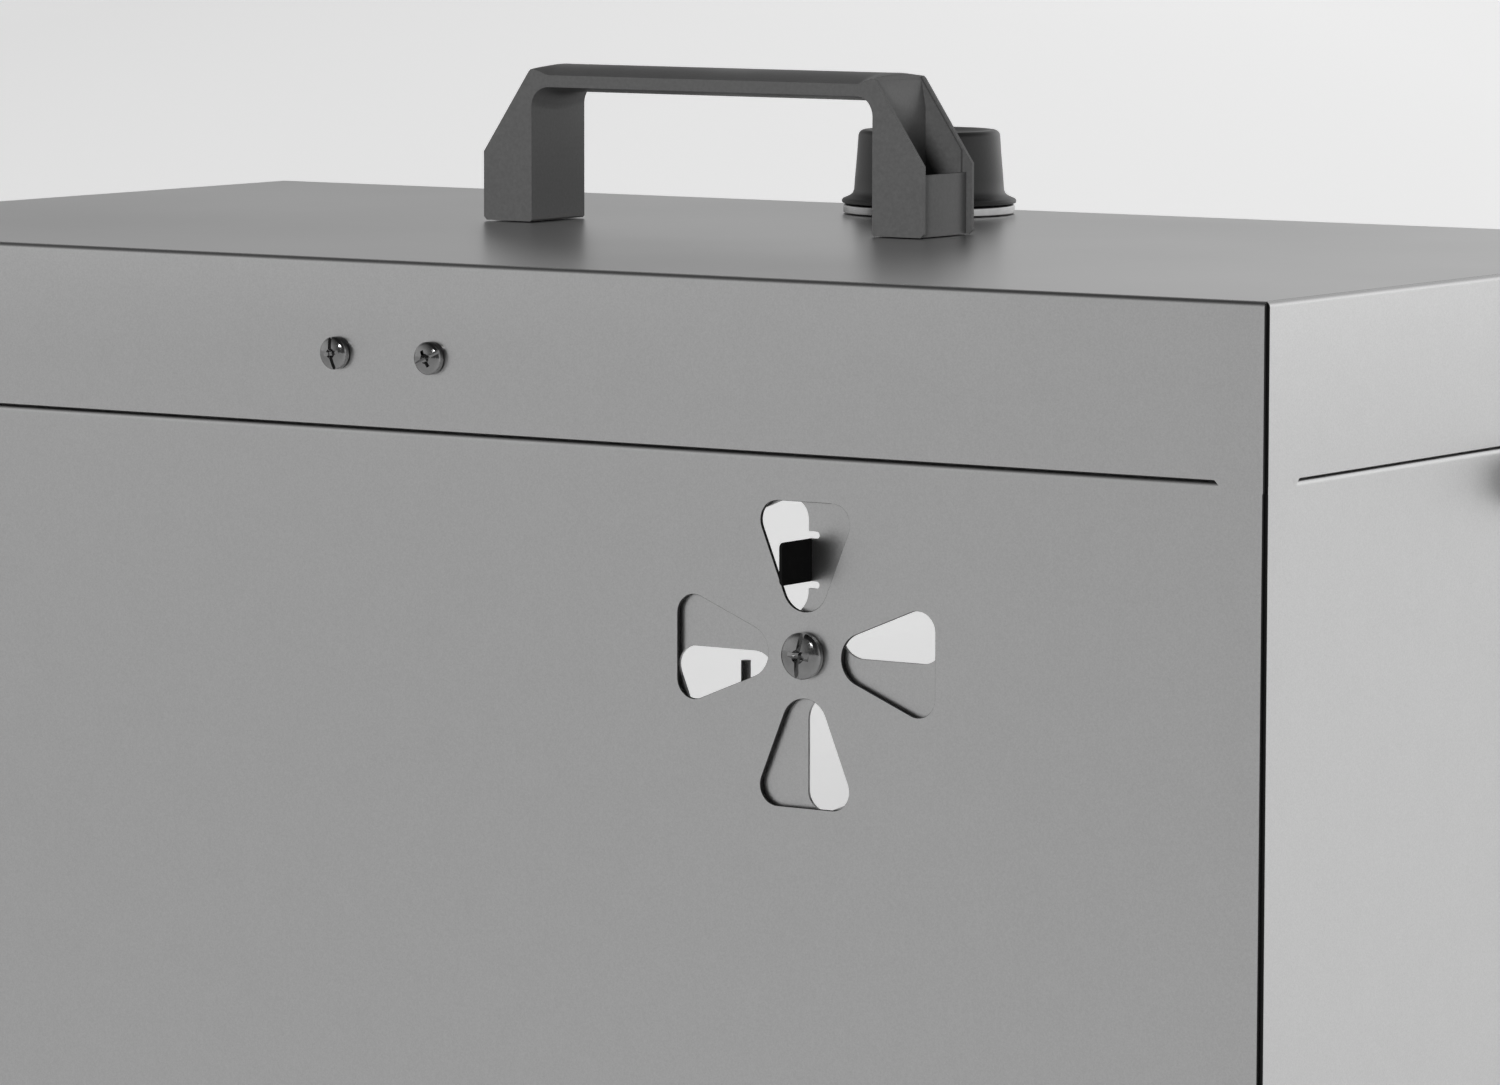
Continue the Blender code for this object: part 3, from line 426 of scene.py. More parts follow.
# %% Arcs, flat sheets and prisms
def arc(across, up, radius, start, end, count):
    return [(across + radius * cos(start + (end - start) * step / count),
             up + radius * sin(start + (end - start) * step / count)) for step in range(count + 1)]


def circle(radius, count, across=0.0, up=0.0):
    return arc(across, up, radius, 0, 2 * pi * (count - 1) / count, count - 1)


def rounded(left, low, right, high, radius, count=8):
    """A rectangle with round corners."""
    corners = ((right - radius, high - radius), (left + radius, high - radius),
               (left + radius, low + radius), (right - radius, low + radius))
    return [point for quarter, (across, up) in enumerate(corners)
            for point in arc(across, up, radius, quarter * pi / 2, (quarter + 1) * pi / 2, count)]


def sheet_face(shape, outlines, lift=0.0):
    """Fills flat outlines in the XZ plane. The first is the edge and the others are holes."""
    edges = []
    for outline in outlines:
        points = [shape.verts.new((across, lift, up)) for across, up in outline]
        edges += [shape.edges.new(pair) for pair in zip(points, points[1:] + points[:1])]
    filled = bmesh.ops.triangle_fill(shape, edges=edges, use_beauty=True, normal=(0, -1, 0))["geom"]
    faces = [item for item in filled if isinstance(item, bmesh.types.BMFace)]
    for face in faces:
        face.normal_update()
        if face.normal.y > 0:
            face.normal_flip()
    return faces


def draw_out(shape, faces, way):
    """Extrudes faces into a solid."""
    made = bmesh.ops.extrude_face_region(shape, geom=faces)["geom"]
    ends = [item for item in made if isinstance(item, bmesh.types.BMVert)]
    bmesh.ops.translate(shape, verts=ends, vec=way)


def prism(shape, outline, reach):
    """Extrudes an outline of (x, z) points from -reach to +reach in Y."""
    near = shape.faces.new([shape.verts.new((across, -reach, up)) for across, up in outline])
    draw_out(shape, [near], (0, 2 * reach, 0))


def largest_normal(shape):
    """The way that a sheet's largest face looks, once all its faces agree."""
    bmesh.ops.recalc_face_normals(shape, faces=shape.faces)
    shape.faces.ensure_lookup_table()
    return max(shape.faces, key=lambda face: face.calc_area()).normal


print("flat outlines ready")

# %% [markdown]
# A part that is made in several shapes is joined to one, and a hole or a slot is cut by taking one
# shape away from another. Blender's boolean is a modifier, so both shapes become objects for a
# moment, and the result is read back into a bmesh.

# %% Join and carve
def joined(shape, part):
    """Adds a part to a shape, as it is."""
    mesh = bpy.data.meshes.new("part")
    part.to_mesh(mesh)
    part.free()
    shape.from_mesh(mesh)
    bpy.data.meshes.remove(mesh)


def carved(shape, cutter, name):
    """The first shape with the second cut out of it."""
    pieces = []
    for part, label in ((shape, name), (cutter, name + "_cutter")):
        bmesh.ops.recalc_face_normals(part, faces=part.faces)
        bmesh.ops.triangulate(part, faces=[face for face in part.faces if len(face.verts) > 4])
        mesh = bpy.data.meshes.new(label)
        part.to_mesh(mesh)
        part.free()
        piece = bpy.data.objects.new(label, mesh)
        bpy.context.scene.collection.objects.link(piece)
        pieces.append(piece)
    cut = pieces[0].modifiers.new("cut", "BOOLEAN")
    cut.object = pieces[1]
    cut.solver = "MANIFOLD"
    bpy.context.view_layer.update()
    result = bmesh.new()
    evaluated = pieces[0].evaluated_get(bpy.context.evaluated_depsgraph_get())
    result.from_mesh(evaluated.to_mesh())
    evaluated.to_mesh_clear()
    for piece in pieces:
        mesh = piece.data
        bpy.data.objects.remove(piece)
        bpy.data.meshes.remove(mesh)
    return result


print("joining and carving ready")

# %% [markdown]
# ## The walls
#
# Each wall is one sheet. Its holes are laser cut, and its top edge is folded inwards to carry the
# deck plate, except near the corners, where the sheet stays flat and is welded to the hood. The
# face is filled from its outline with the holes left open, the top edge is spun through a quarter
# turn for the fold, and a Solidify modifier gives the whole sheet its thickness.

# %% Fold a wall
def folded_wall(name, half, taper, ear, holes, place, turn):
    """One wall, drawn as the damper wall stands, then turned and moved to its place."""
    inner = half - ear
    foot = half - taper
    shape = bmesh.new()
    outline = [(-foot, WALL_FOOT), (foot, WALL_FOOT), (half, BEND_LINE), (inner, BEND_LINE),
               (-inner, BEND_LINE), (-half, BEND_LINE)]
    sheet_face(shape, [outline] + holes)
    top = [edge for edge in shape.edges
           if all(abs(end.co.z - BEND_LINE) < HAIR and abs(end.co.x) < inner + HAIR
                  for end in edge.verts)]
    ends = {end for edge in top for end in edge.verts}
    spun = bmesh.ops.spin(shape, geom=top + list(ends), cent=(0, FOLD, BEND_LINE),
                          axis=(-1, 0, 0), angle=pi / 2, steps=BEND_STEPS)["geom_last"]
    rim = [item for item in spun if isinstance(item, bmesh.types.BMEdge)]
    flange = bmesh.ops.extrude_edge_only(shape, edges=rim)["geom"]
    flange_ends = [item for item in flange if isinstance(item, bmesh.types.BMVert)]
    bmesh.ops.translate(shape, verts=flange_ends, vec=(0, FLANGE - FOLD, 0))
    for vert in shape.verts:
        rise = vert.co.z - BEND_LINE
        if rise > HAIR and abs(vert.co.x) > inner - HAIR:
            vert.co.x -= EAR_DROP * rise / FOLD * (1 if vert.co.x > 0 else -1)
    bmesh.ops.remove_doubles(shape, verts=shape.verts, dist=WELD_NEAR)
    if largest_normal(shape).y > 0:
        bmesh.ops.reverse_faces(shape, faces=shape.faces)
    bmesh.ops.transform(shape, matrix=Matrix.Translation(place) @ Matrix.Rotation(turn, 4, "Z"),
                        verts=shape.verts)
    hand_over(shape, name + "_sheet", "cabinet", STEEL, [name], CUT, 1, SHEET)
    print(name, "folded")

# %% [markdown]
# A petal of the damper is a sector with straight sides. Its outer corners and its inner end are
# arcs that touch the sides, so their centres follow from the half angle.

# %% Draw a petal
PETAL_HALF = radians(22.3)
PETAL_REACH = 35.9 * MM
PETAL_CORNER = 4.75 * MM
PETAL_TIP_AT = 16.4 * MM


def petal(aim, across, up):
    """A petal about a middle line that points at the angle aim from the damper's centre."""
    tip_radius = PETAL_TIP_AT * sin(PETAL_HALF)
    corner_out = PETAL_REACH - PETAL_CORNER
    corner_side = (corner_out * sin(PETAL_HALF) - PETAL_CORNER) / cos(PETAL_HALF)
    side = pi / 2 + PETAL_HALF
    points = (arc(corner_out, corner_side, PETAL_CORNER, 0, side, 14)
              + arc(PETAL_TIP_AT, 0, tip_radius, side, 2 * pi - side, 20)
              + arc(corner_out, -corner_side, PETAL_CORNER, 2 * pi - side, 2 * pi, 14))
    return [(across + out * cos(aim) - aside * sin(aim), up + out * sin(aim) + aside * cos(aim))
            for out, aside in points]


disc_low, disc_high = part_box("damper_disc")
DAMPER_X, _, DAMPER_Z = middle("damper_disc")
print("damper centre", round(DAMPER_X, 4), round(DAMPER_Z, 4))

# %% [markdown]
# The damper wall has the four petals and the pivot's hole. The door wall has one large opening,
# the right wall the gland's hole, and the left wall the fan's opening with its four screw holes.
# Every outline is drawn as seen on the damper wall, so a wall that is turned half round has its
# holes mirrored.

# %% Make the four walls
damper_local = DAMPER_X - MIDDLE_X
damper_holes = [petal(step * pi / 2, damper_local, DAMPER_Z) for step in range(4)]
damper_holes.append(circle(SCREW_HOLE, 24, damper_local, DAMPER_Z))
long_half = LENGTH / 2 - WALL_SLIT
long_ear = LONG_EAR - WALL_SLIT
folded_wall("damper_wall", long_half, SLIT_SPREAD, long_ear, damper_holes, (MIDDLE_X, FRONT, 0), 0)

PANE_LAP = 8 * MM               # how far the pane reaches past the opening
OPENING_RIGHT = RIGHT - 30 * MM
OPENING_TOP = TOP - 52 * MM
OPENING_CORNER = 8 * MM
pane_low, pane_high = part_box("door_pane")
door_hole = rounded(MIDDLE_X - OPENING_RIGHT, pane_low.z + PANE_LAP,
                    MIDDLE_X - (pane_low.x + PANE_LAP), OPENING_TOP, OPENING_CORNER)
folded_wall("door_wall", long_half, SLIT_SPREAD, long_ear, [door_hole], (MIDDLE_X, BACK, 0), pi)

GLAND_HOLE = 5.3 * MM
_, GLAND_Y, GLAND_Z = middle("cable_gland")
short_half = DEPTH / 2 - END_SETBACK
short_ear = SHORT_EAR - END_SETBACK
gland_hole = circle(GLAND_HOLE, 32, GLAND_Y - MIDDLE_Y, GLAND_Z)
folded_wall("right_wall", short_half, 0, short_ear, [gland_hole], (RIGHT, MIDDLE_Y, 0), pi / 2)

FAN_OPENING = 55 * MM
FAN_HOLE = 52.5 * MM            # the fan's screw holes, from its axis, across and up
_, FAN_Y, FAN_Z = middle("fan_frame")
fan_holes = [circle(FAN_OPENING, 96, MIDDLE_Y - FAN_Y, FAN_Z)]
fan_holes += [circle(SCREW_HOLE, 16, MIDDLE_Y - FAN_Y + side * FAN_HOLE, FAN_Z + level * FAN_HOLE)
              for side in (-1, 1) for level in (-1, 1)]
folded_wall("left_wall", short_half, 0, short_ear, fan_holes, (LEFT, MIDDLE_Y, 0), -pi / 2)

# %% [markdown]
# The damper disc is cut with the same four petals, turned a little from the wall's. Its tab is the
# finger grip: a flap between two notches, bent out square, with a near-black finish that is painted
# shade for the dark reflection it shows. The disc is filled flat and drawn out to its thickness, and
# each notch is cut with a small round tool for its end and a block for its straight part.

# %% Make the damper disc
DISC_RADIUS = (disc_high.x - disc_low.x) / 2
DISC_SHEET = 0.8 * MM
DISC_BACK = disc_high.y
DISC_FRONT = DISC_BACK - DISC_SHEET
PIVOT_HOLE = 2.25 * MM
TAB_LOW = 17.3 * MM             # the tab's ends, above the disc's middle
TAB_HIGH = 27.3 * MM
NOTCH = 1.7 * MM
NOTCH_DEEP = 3.0 * MM
disc = bmesh.new()
outlines = [circle(DISC_RADIUS, 96, DAMPER_X, DAMPER_Z), circle(PIVOT_HOLE, 24, DAMPER_X, DAMPER_Z)]
outlines += [petal(PETAL_HALF + step * pi / 2, DAMPER_X, DAMPER_Z) for step in range(4)]
sheet_face(disc, outlines, DISC_FRONT)
draw_out(disc, disc.faces[:], (0, DISC_SHEET, 0))
notch_end = DAMPER_X + NOTCH_DEEP - NOTCH / 2
round_ends, straight_parts = bmesh.new(), bmesh.new()
for low in (TAB_LOW - NOTCH, TAB_HIGH):
    place = (notch_end, DISC_FRONT + DISC_SHEET / 2, DAMPER_Z + low + NOTCH / 2)
    bmesh.ops.create_cone(round_ends, cap_ends=True, segments=24, radius1=NOTCH / 2,
                          radius2=NOTCH / 2, depth=3 * MM,
                          matrix=Matrix.Translation(place) @ Matrix.Rotation(pi / 2, 4, "X"))
    cube(straight_parts, (DAMPER_X - 2 * MM, DISC_FRONT - MM, DAMPER_Z + low),
         (notch_end, DISC_BACK + MM, DAMPER_Z + low + NOTCH))
for notches in (round_ends, straight_parts):
    disc = carved(disc, notches, "disc_shape")
hand_over(disc, "damper_disc_fine", "damper", DISC_STEEL, ["damper_disc"],
          0.08 * MM, 2)
print("disc", round(DISC_RADIUS, 4), "in radius")

# %% [markdown]
# The tab is a flap with two round corners, drawn from its foot in the disc to its tip. Its edges
# get a wider bevel than the sheet's, and its near-black, glossless finish is painted shade.

# %% Bend the damper's tab
TAB_CORNER = 1.3 * MM
TAB_ROOT = 0.4 * MM             # how far the flap starts inside the disc
TAB_ASIDE = 0.1 * MM
tab_middle = DAMPER_Z + (TAB_LOW + TAB_HIGH) / 2
tab_half = (TAB_HIGH - TAB_LOW) / 2
corner_at = disc_low.y + TAB_CORNER
foot = DISC_FRONT + TAB_ROOT
flap = [(foot, tab_middle - tab_half)]
flap += arc(corner_at, tab_middle - tab_half + TAB_CORNER, TAB_CORNER, -pi / 2, -pi, 5)
flap += arc(corner_at, tab_middle + tab_half - TAB_CORNER, TAB_CORNER, pi, pi / 2, 5)
flap += [(foot, tab_middle + tab_half)]
tab = bmesh.new()
face = tab.faces.new([tab.verts.new((DAMPER_X + TAB_ASIDE, out, up)) for out, up in flap])
draw_out(tab, [face], (DISC_SHEET, 0, 0))
bmesh.ops.recalc_face_normals(tab, faces=tab.faces)
hand_over(tab, "damper_tab", "damper", TAB_PAINTED_SHADE, (), 0.18 * MM, 3)
print("tab reaches", round(DISC_BACK - disc_low.y, 4))

# %% [markdown]
# ## The hood
#
# The hood is folded from one blank: a flat top and four skirts. Each skirt is bent down along its
# own edge, so the bends don't meet at the corners and a narrow slit stays open there. The flat top
# comes first. Then each skirt is filled flat, and its upper edge is spun through a quarter turn
# to meet the top. Near the corners a skirt reaches a little lower, to the flat part of the wall.

# %% Fold the hood
SHAFT_HOLE = 5 * MM
HANDLE_SCREW = 60 * MM          # the handle's screws, from its middle
KNOB_X, KNOB_Y, _ = middle("knob_bezel")
HANDLE_X, HANDLE_Y, _ = middle("carry_handle")
hood = bmesh.new()
top_x = LENGTH / 2 - HOOD_BEND
top_y = DEPTH / 2 - HOOD_BEND
blank = [(-top_x, -top_y), (top_x, -top_y), (top_x, top_y), (-top_x, top_y)]
top_holes = [circle(SHAFT_HOLE, 32, KNOB_X - MIDDLE_X, KNOB_Y - MIDDLE_Y)]
top_holes += [circle(SCREW_HOLE, 16, HANDLE_X + side * HANDLE_SCREW - MIDDLE_X,
                     HANDLE_Y - MIDDLE_Y) for side in (-1, 1)]
sheet_face(hood, [blank] + top_holes)
bmesh.ops.transform(hood, matrix=Matrix.Rotation(-pi / 2, 4, "X"), verts=hood.verts)
bmesh.ops.translate(hood, verts=hood.verts, vec=(0, 0, TOP))


def skirt(shape, half, ear, shift, turn, open_end, holes):
    """One skirt, made where the damper wall's would be, and turned about the middle to its side."""
    part = bmesh.new()
    reach = half - open_end
    inner = half - ear
    low = SEAM - EAR_DROP
    bend = TOP - HOOD_BEND
    outline = [(-reach, low), (-inner, low), (EAR_DROP - inner, SEAM), (inner - EAR_DROP, SEAM),
               (inner, low), (reach, low), (reach, bend), (-reach, bend)]
    sheet_face(part, [outline] + holes, -shift)
    top = [edge for edge in part.edges if all(abs(end.co.z - bend) < HAIR for end in edge.verts)]
    ends = list({end for edge in top for end in edge.verts})
    bmesh.ops.spin(part, geom=top + ends, cent=(0, HOOD_BEND - shift, bend), axis=(-1, 0, 0),
                   angle=pi / 2, steps=BEND_STEPS)
    bmesh.ops.remove_doubles(part, verts=part.verts, dist=WELD_NEAR)
    bmesh.ops.transform(part, matrix=Matrix.Rotation(turn, 4, "Z"), verts=part.verts)
    joined(shape, part)


SCREW_Z = middle("hood_screw_left")[2]
screw_holes = [circle(SCREW_HOLE, 16, middle(name)[0] - MIDDLE_X, SCREW_Z)
               for name in ("hood_screw_left", "hood_screw_right")]
skirt(hood, LENGTH / 2, LONG_EAR, DEPTH / 2, 0, HOOD_SLIT, screw_holes)
skirt(hood, LENGTH / 2, LONG_EAR, DEPTH / 2, pi, HOOD_SLIT, [])
skirt(hood, DEPTH / 2, SHORT_EAR, LENGTH / 2, pi / 2, END_SETBACK, [])
skirt(hood, DEPTH / 2, SHORT_EAR, LENGTH / 2, -pi / 2, END_SETBACK, [])
bmesh.ops.remove_doubles(hood, verts=hood.verts, dist=HAIR)
if largest_normal(hood).z < 0:
    bmesh.ops.reverse_faces(hood, faces=hood.faces)
bmesh.ops.translate(hood, verts=hood.verts, vec=(MIDDLE_X, MIDDLE_Y, 0))
hand_over(hood, "hood_sheet", "cabinet", STEEL, ["hood"], CUT, 1, SHEET)
print("hood folded")

# %% [markdown]
# Where the hood meets the flat part of each wall, the joint is welded and ground flush. The dressed
# weld is a very thin plate over the joint, with the sheet's own finish, and its slanted end lets the
# black seam fade out.

# %% Dress the corner welds
PROUD = 0.02 * MM
WELD_THICK = 0.25 * MM
WELD_HALF = 0.9 * MM            # above and below the joint
LAP = 0.2 * MM
FADE_LONG = 1.2 * MM            # how far a weld's end slants along the seam
FADE_SHORT = 2.4 * MM
weld_low, weld_high = BEND_LINE - WELD_HALF, BEND_LINE + WELD_HALF
welds = bmesh.new()


def weld(outline, half, shift, end, turn):
    """A weld, measured from the wall's corner, at either end of the wall that is turned so."""
    part = bmesh.new()
    draw_out(part, sheet_face(part, [outline]), (0, WELD_THICK, 0))
    bmesh.ops.translate(part, verts=part.verts, vec=(half, -shift - PROUD, 0))
    if end < 0:
        bmesh.ops.scale(part, verts=part.verts, vec=(-1, 1, 1))
    bmesh.ops.rotate(part, verts=part.verts, matrix=Matrix.Rotation(turn, 3, "Z"))
    bmesh.ops.recalc_face_normals(part, faces=part.faces)
    joined(welds, part)


start, stop = -LONG_EAR - LAP, -WALL_SLIT - LAP / 4
long_weld = [(start, weld_low), (stop, weld_low), (stop, weld_high), (start - FADE_LONG, weld_high)]
start, stop = -SHORT_EAR - LAP, -END_SETBACK - LAP / 4
short_weld = [(start, weld_low), (stop, weld_low), (stop, weld_high), (start + LAP, weld_high),
              (start + LAP, SEAM + LAP), (start - FADE_SHORT, SEAM + LAP)]
for end in (-1, 1):
    for turn in (0, pi):
        weld(long_weld, LENGTH / 2, DEPTH / 2, end, turn)
    for turn in (pi / 2, -pi / 2):
        weld(short_weld, DEPTH / 2, LENGTH / 2, end, turn)
bmesh.ops.translate(welds, verts=welds.verts, vec=(MIDDLE_X, MIDDLE_Y, 0))
hand_over(welds, "corner_welds", "cabinet", STEEL)
print("welds dressed")

# %% [markdown]
# ## The carry handle
#
# A bridge handle is moulded in one piece. Its bar is crowned above and below, so the hand meets no
# flat, and each end is a deep pocket between two cheeks, where the screw goes down into the lid. The
# side outline is drawn once, drawn out across, and sliced so that it can bend. The crown then comes
# from lowering the points of the top by how far they lie from the middle, and raising those of the
# underside.

# %% Shape the handle's bar and legs
handle_low, handle_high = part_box("carry_handle")
HANDLE_HALF = (handle_high.x - handle_low.x) / 2
HANDLE_TALL = handle_high.z - handle_low.z
HANDLE_DEEP = (handle_high.y - handle_low.y) / 2
LEG = 15.4 * MM
SHOULDER = 18.0 * MM
SLANT = 15.0 * MM
EDGE_CUT = 1.0 * MM             # the corner between slant and top
GRIP = 7.2 * MM
GRIP_CORNER = 5.0 * MM
CROWN = 2.6 * MM                # on the bar
CROWN_LEG = 0.8 * MM            # over the legs
BELLY = 1.5 * MM
WAIST = 0.95                    # how far the bar's sides are drawn in
slope = SLANT / (HANDLE_TALL - EDGE_CUT - SHOULDER)


def handle_outline():
    inner = HANDLE_HALF - LEG
    under = HANDLE_TALL - GRIP
    top_x = HANDLE_HALF - SLANT
    right = [(inner, 0.5 * MM), (inner + 0.5 * MM, 0), (HANDLE_HALF - 0.9 * MM, 0),
             (HANDLE_HALF, 0.9 * MM), (HANDLE_HALF, SHOULDER), (top_x, HANDLE_TALL - EDGE_CUT),
             (top_x - 0.7 * MM, HANDLE_TALL - 0.3 * MM), (top_x - 2.0 * MM, HANDLE_TALL)]
    left = [(-across, up) for across, up in reversed(right)]
    gap = (arc(GRIP_CORNER - inner, under - GRIP_CORNER, GRIP_CORNER, pi, pi / 2, 8)
           + arc(inner - GRIP_CORNER, under - GRIP_CORNER, GRIP_CORNER, pi / 2, 0, 8))
    return right + left + gap


def slice_at(shape, place, normal):
    bmesh.ops.bisect_plane(shape, geom=shape.verts[:] + shape.edges[:] + shape.faces[:],
                           plane_co=place, plane_no=normal, dist=HAIR / 10)


handle = bmesh.new()
prism(handle, handle_outline(), HANDLE_DEEP)
bmesh.ops.recalc_face_normals(handle, faces=handle.faces)
for step in range(1, 16):
    slice_at(handle, (0, (step / 8 - 1) * HANDLE_DEEP, 0), (0, 1, 0))
for side in (-1, 1):
    for step in range(5):
        slice_at(handle, (side * (HANDLE_HALF - LEG - GRIP_CORNER * step / 4), 0, 0), (1, 0, 0))
for vert in handle.verts:
    off = (vert.co.y / HANDLE_DEEP) ** 2
    from_middle = abs(vert.co.x)
    to_leg = min(max((from_middle - HANDLE_HALF + LEG + GRIP_CORNER) / GRIP_CORNER, 0), 1)
    to_leg = to_leg ** 2 * (3 - 2 * to_leg)
    on_top = vert.co.z > HANDLE_TALL - 1.2 * MM
    above_gap = vert.co.z > HANDLE_TALL - GRIP - GRIP_CORNER - HAIR
    if on_top:
        crown = CROWN + (CROWN_LEG - CROWN) * to_leg
        vert.co.z -= crown * off
        if from_middle > HANDLE_HALF - SLANT - 2.1 * MM:
            vert.co.x += slope * crown * off * (1 if vert.co.x > 0 else -1)
    elif above_gap and from_middle < HANDLE_HALF - LEG + HAIR:
        vert.co.z += BELLY * off
    vert.co.y *= WAIST + (1 - WAIST) * to_leg
print("handle", len(handle.faces), "faces")

# %% [markdown]
# The pockets are cut with three plain tools for each end: the deep hole, a wider and shallower one
# that leaves a ledge round its mouth, and a block that sets the end plate back between the cheeks.
# The block's inner face is curved a little, so the end plate bulges between the cheeks.

# %% Cut the pockets
CHEEK = 1.9 * MM
LEDGE = 0.9 * MM
LEDGE_DEEP = 1.9 * MM           # below the slanted edge
POCKET_FLOOR = 7.0 * MM
PLATE_TOP = SHOULDER - 2.3 * MM
PLATE_BACK = 1.0 * MM
BULGE = 0.012
CLEAR_ABOVE = 9 * MM            # the tools end well above the handle
pocket_in = HANDLE_HALF - LEG + CHEEK
pocket_out = HANDLE_HALF - CHEEK - LEDGE
top_x = HANDLE_HALF - SLANT


def ledge_line(across):
    """The ledge's height below the slanted edge, at a distance from the handle's middle."""
    return HANDLE_TALL - LEDGE_DEEP - (across - top_x) / slope


def both_ends(outline, reach):
    """A cutter for both ends of the handle, from the outline of the right one."""
    cutter = bmesh.new()
    for side in (-1, 1):
        prism(cutter, [(side * across, up) for across, up in outline], reach)
    return cutter


tool_top = HANDLE_TALL + CLEAR_ABOVE
deep = [(pocket_in, POCKET_FLOOR), (pocket_out, POCKET_FLOOR), (pocket_out, tool_top),
        (top_x - 0.4 * MM, tool_top), (top_x + 0.1 * MM, HANDLE_TALL - 1.5 * MM),
        (pocket_in, HANDLE_TALL - 9 * MM)]
ledge_x = pocket_out - 0.05 * MM
ledge_top = top_x - 0.2 * MM
outside = HANDLE_HALF + MM
mouth = [(ledge_x, PLATE_TOP), (outside, PLATE_TOP), (outside, tool_top), (ledge_top, tool_top),
         (ledge_top, ledge_line(ledge_top)), (ledge_x, ledge_line(ledge_x))]
plate_x = HANDLE_HALF - PLATE_BACK
plate = [(plate_x, -MM), (outside, -MM), (outside, SHOULDER), (plate_x, SHOULDER)]
plate_tool = both_ends(plate, HANDLE_DEEP - PLATE_BACK)
for step in range(-3, 4):
    slice_at(plate_tool, (0, step / 4 * HANDLE_DEEP, 0), (0, 1, 0))
for vert in plate_tool.verts:
    if abs(vert.co.x) < HANDLE_HALF:
        vert.co.x *= 1 - BULGE * (vert.co.y / HANDLE_DEEP) ** 2
for tool in (both_ends(deep, HANDLE_DEEP - CHEEK), both_ends(mouth, HANDLE_DEEP - CHEEK + LEDGE),
             plate_tool):
    handle = carved(handle, tool, "handle_shape")
bmesh.ops.translate(handle, verts=handle.verts, vec=(HANDLE_X, HANDLE_Y, handle_low.z))
hand_over(handle, "handle_moulding", "cabinet", HANDLE_PLASTIC, ["carry_handle"],
          0.32 * MM, 3, edge_angle=28)
print("handle pocketed")

# %% [markdown]
# ## The speed knob
#
# The knob is a turned form: a slightly tapered body, a soft upper edge round a shallow dish, and a
# flared skirt. It stands on a bright ring. Shaped knobs have one flat or mark that tells where they
# point, so a narrow groove runs from the dish to the rim.

# %% Turn the knob and its ring
KNOB_SIDES = 96
knob_low, knob_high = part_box("control_knob")
tall = knob_high.z - knob_low.z
skirt_radius = (knob_high.x - knob_low.x) / 2
outline = [(0, tall - 1.3 * MM), (8 * MM, tall - 1.25 * MM), (13.5 * MM, tall - 0.7 * MM),
           (15.6 * MM, tall - 0.12 * MM), (16.4 * MM, tall)]
outline += arc(17.3 * MM, tall - 1.7 * MM, 1.7 * MM, pi / 2, radians(6), 6)
outline += [(19.3 * MM, tall - 6 * MM), (19.9 * MM, tall - 13 * MM)]
outline += in_mm([(20.1, 3.6), (20.5, 2.6), (21.2, 2.0), (22.3, 1.5)])
outline += [(skirt_radius - 0.3 * MM, 1.15 * MM), (skirt_radius, 0.7 * MM),
            (skirt_radius - 0.1 * MM, 0.1 * MM), (skirt_radius - 0.6 * MM, 0)]
outline += in_mm([(9.5, 0), (9.5, 5.3), (3.3, 5.3), (3.3, 13.6), (0, 13.6)])
knob = bmesh.new()
lathe(knob, outline, (KNOB_X, KNOB_Y, knob_low.z), (0, 0, 1), KNOB_SIDES)
groove = bmesh.new()
cube(groove, (KNOB_X - 0.6 * MM, KNOB_Y - 25 * MM, knob_high.z - 1.0 * MM),
     (KNOB_X + 0.6 * MM, KNOB_Y - 9 * MM, knob_high.z + MM))
hand_over(carved(knob, groove, "knob_shape"), "knob_moulding", "speed_knob", KNOB_PLASTIC,
          ["control_knob"], 0.15 * MM, 2, edge_angle=50)

RIM = 0.6 * MM                  # the ring's round outer edge
bezel_low, bezel_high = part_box("knob_bezel")
ring_radius = (bezel_high.x - bezel_low.x) / 2
ring_tall = bezel_high.z - bezel_low.z
outline = [(5.0 * MM, 0), (5.0 * MM, ring_tall - 0.5 * MM), (8 * MM, ring_tall - 0.5 * MM),
           (8.6 * MM, ring_tall)]
outline += arc(ring_radius - RIM, ring_tall - RIM, RIM, pi / 2, 0, 5)
outline += [(ring_radius, 0.2 * MM), (ring_radius - 0.2 * MM, 0)]
ring = bmesh.new()
lathe(ring, outline, (KNOB_X, KNOB_Y, bezel_low.z), (0, 0, 1), KNOB_SIDES)
hand_over(ring, "knob_ring", "cabinet", ALUMINIUM, ["knob_bezel"])
print("knob", round(tall, 4), "tall on a ring", round(ring_radius, 4), "in radius")

# %% [markdown]
# ## Screws
#
# A combination screw takes a flat or a cross driver: its pan head has a straight slot all the way
# over, crossed by a shorter tapered arm, with a small well in the middle. A plain cross-recess
# screw has two short arms instead. The head is turned from a profile, and the recess is cut with
# three tools in turn: two blocks and a cone. One function makes every screw.

# %% Make a screw
SHANK = 2.0 * MM


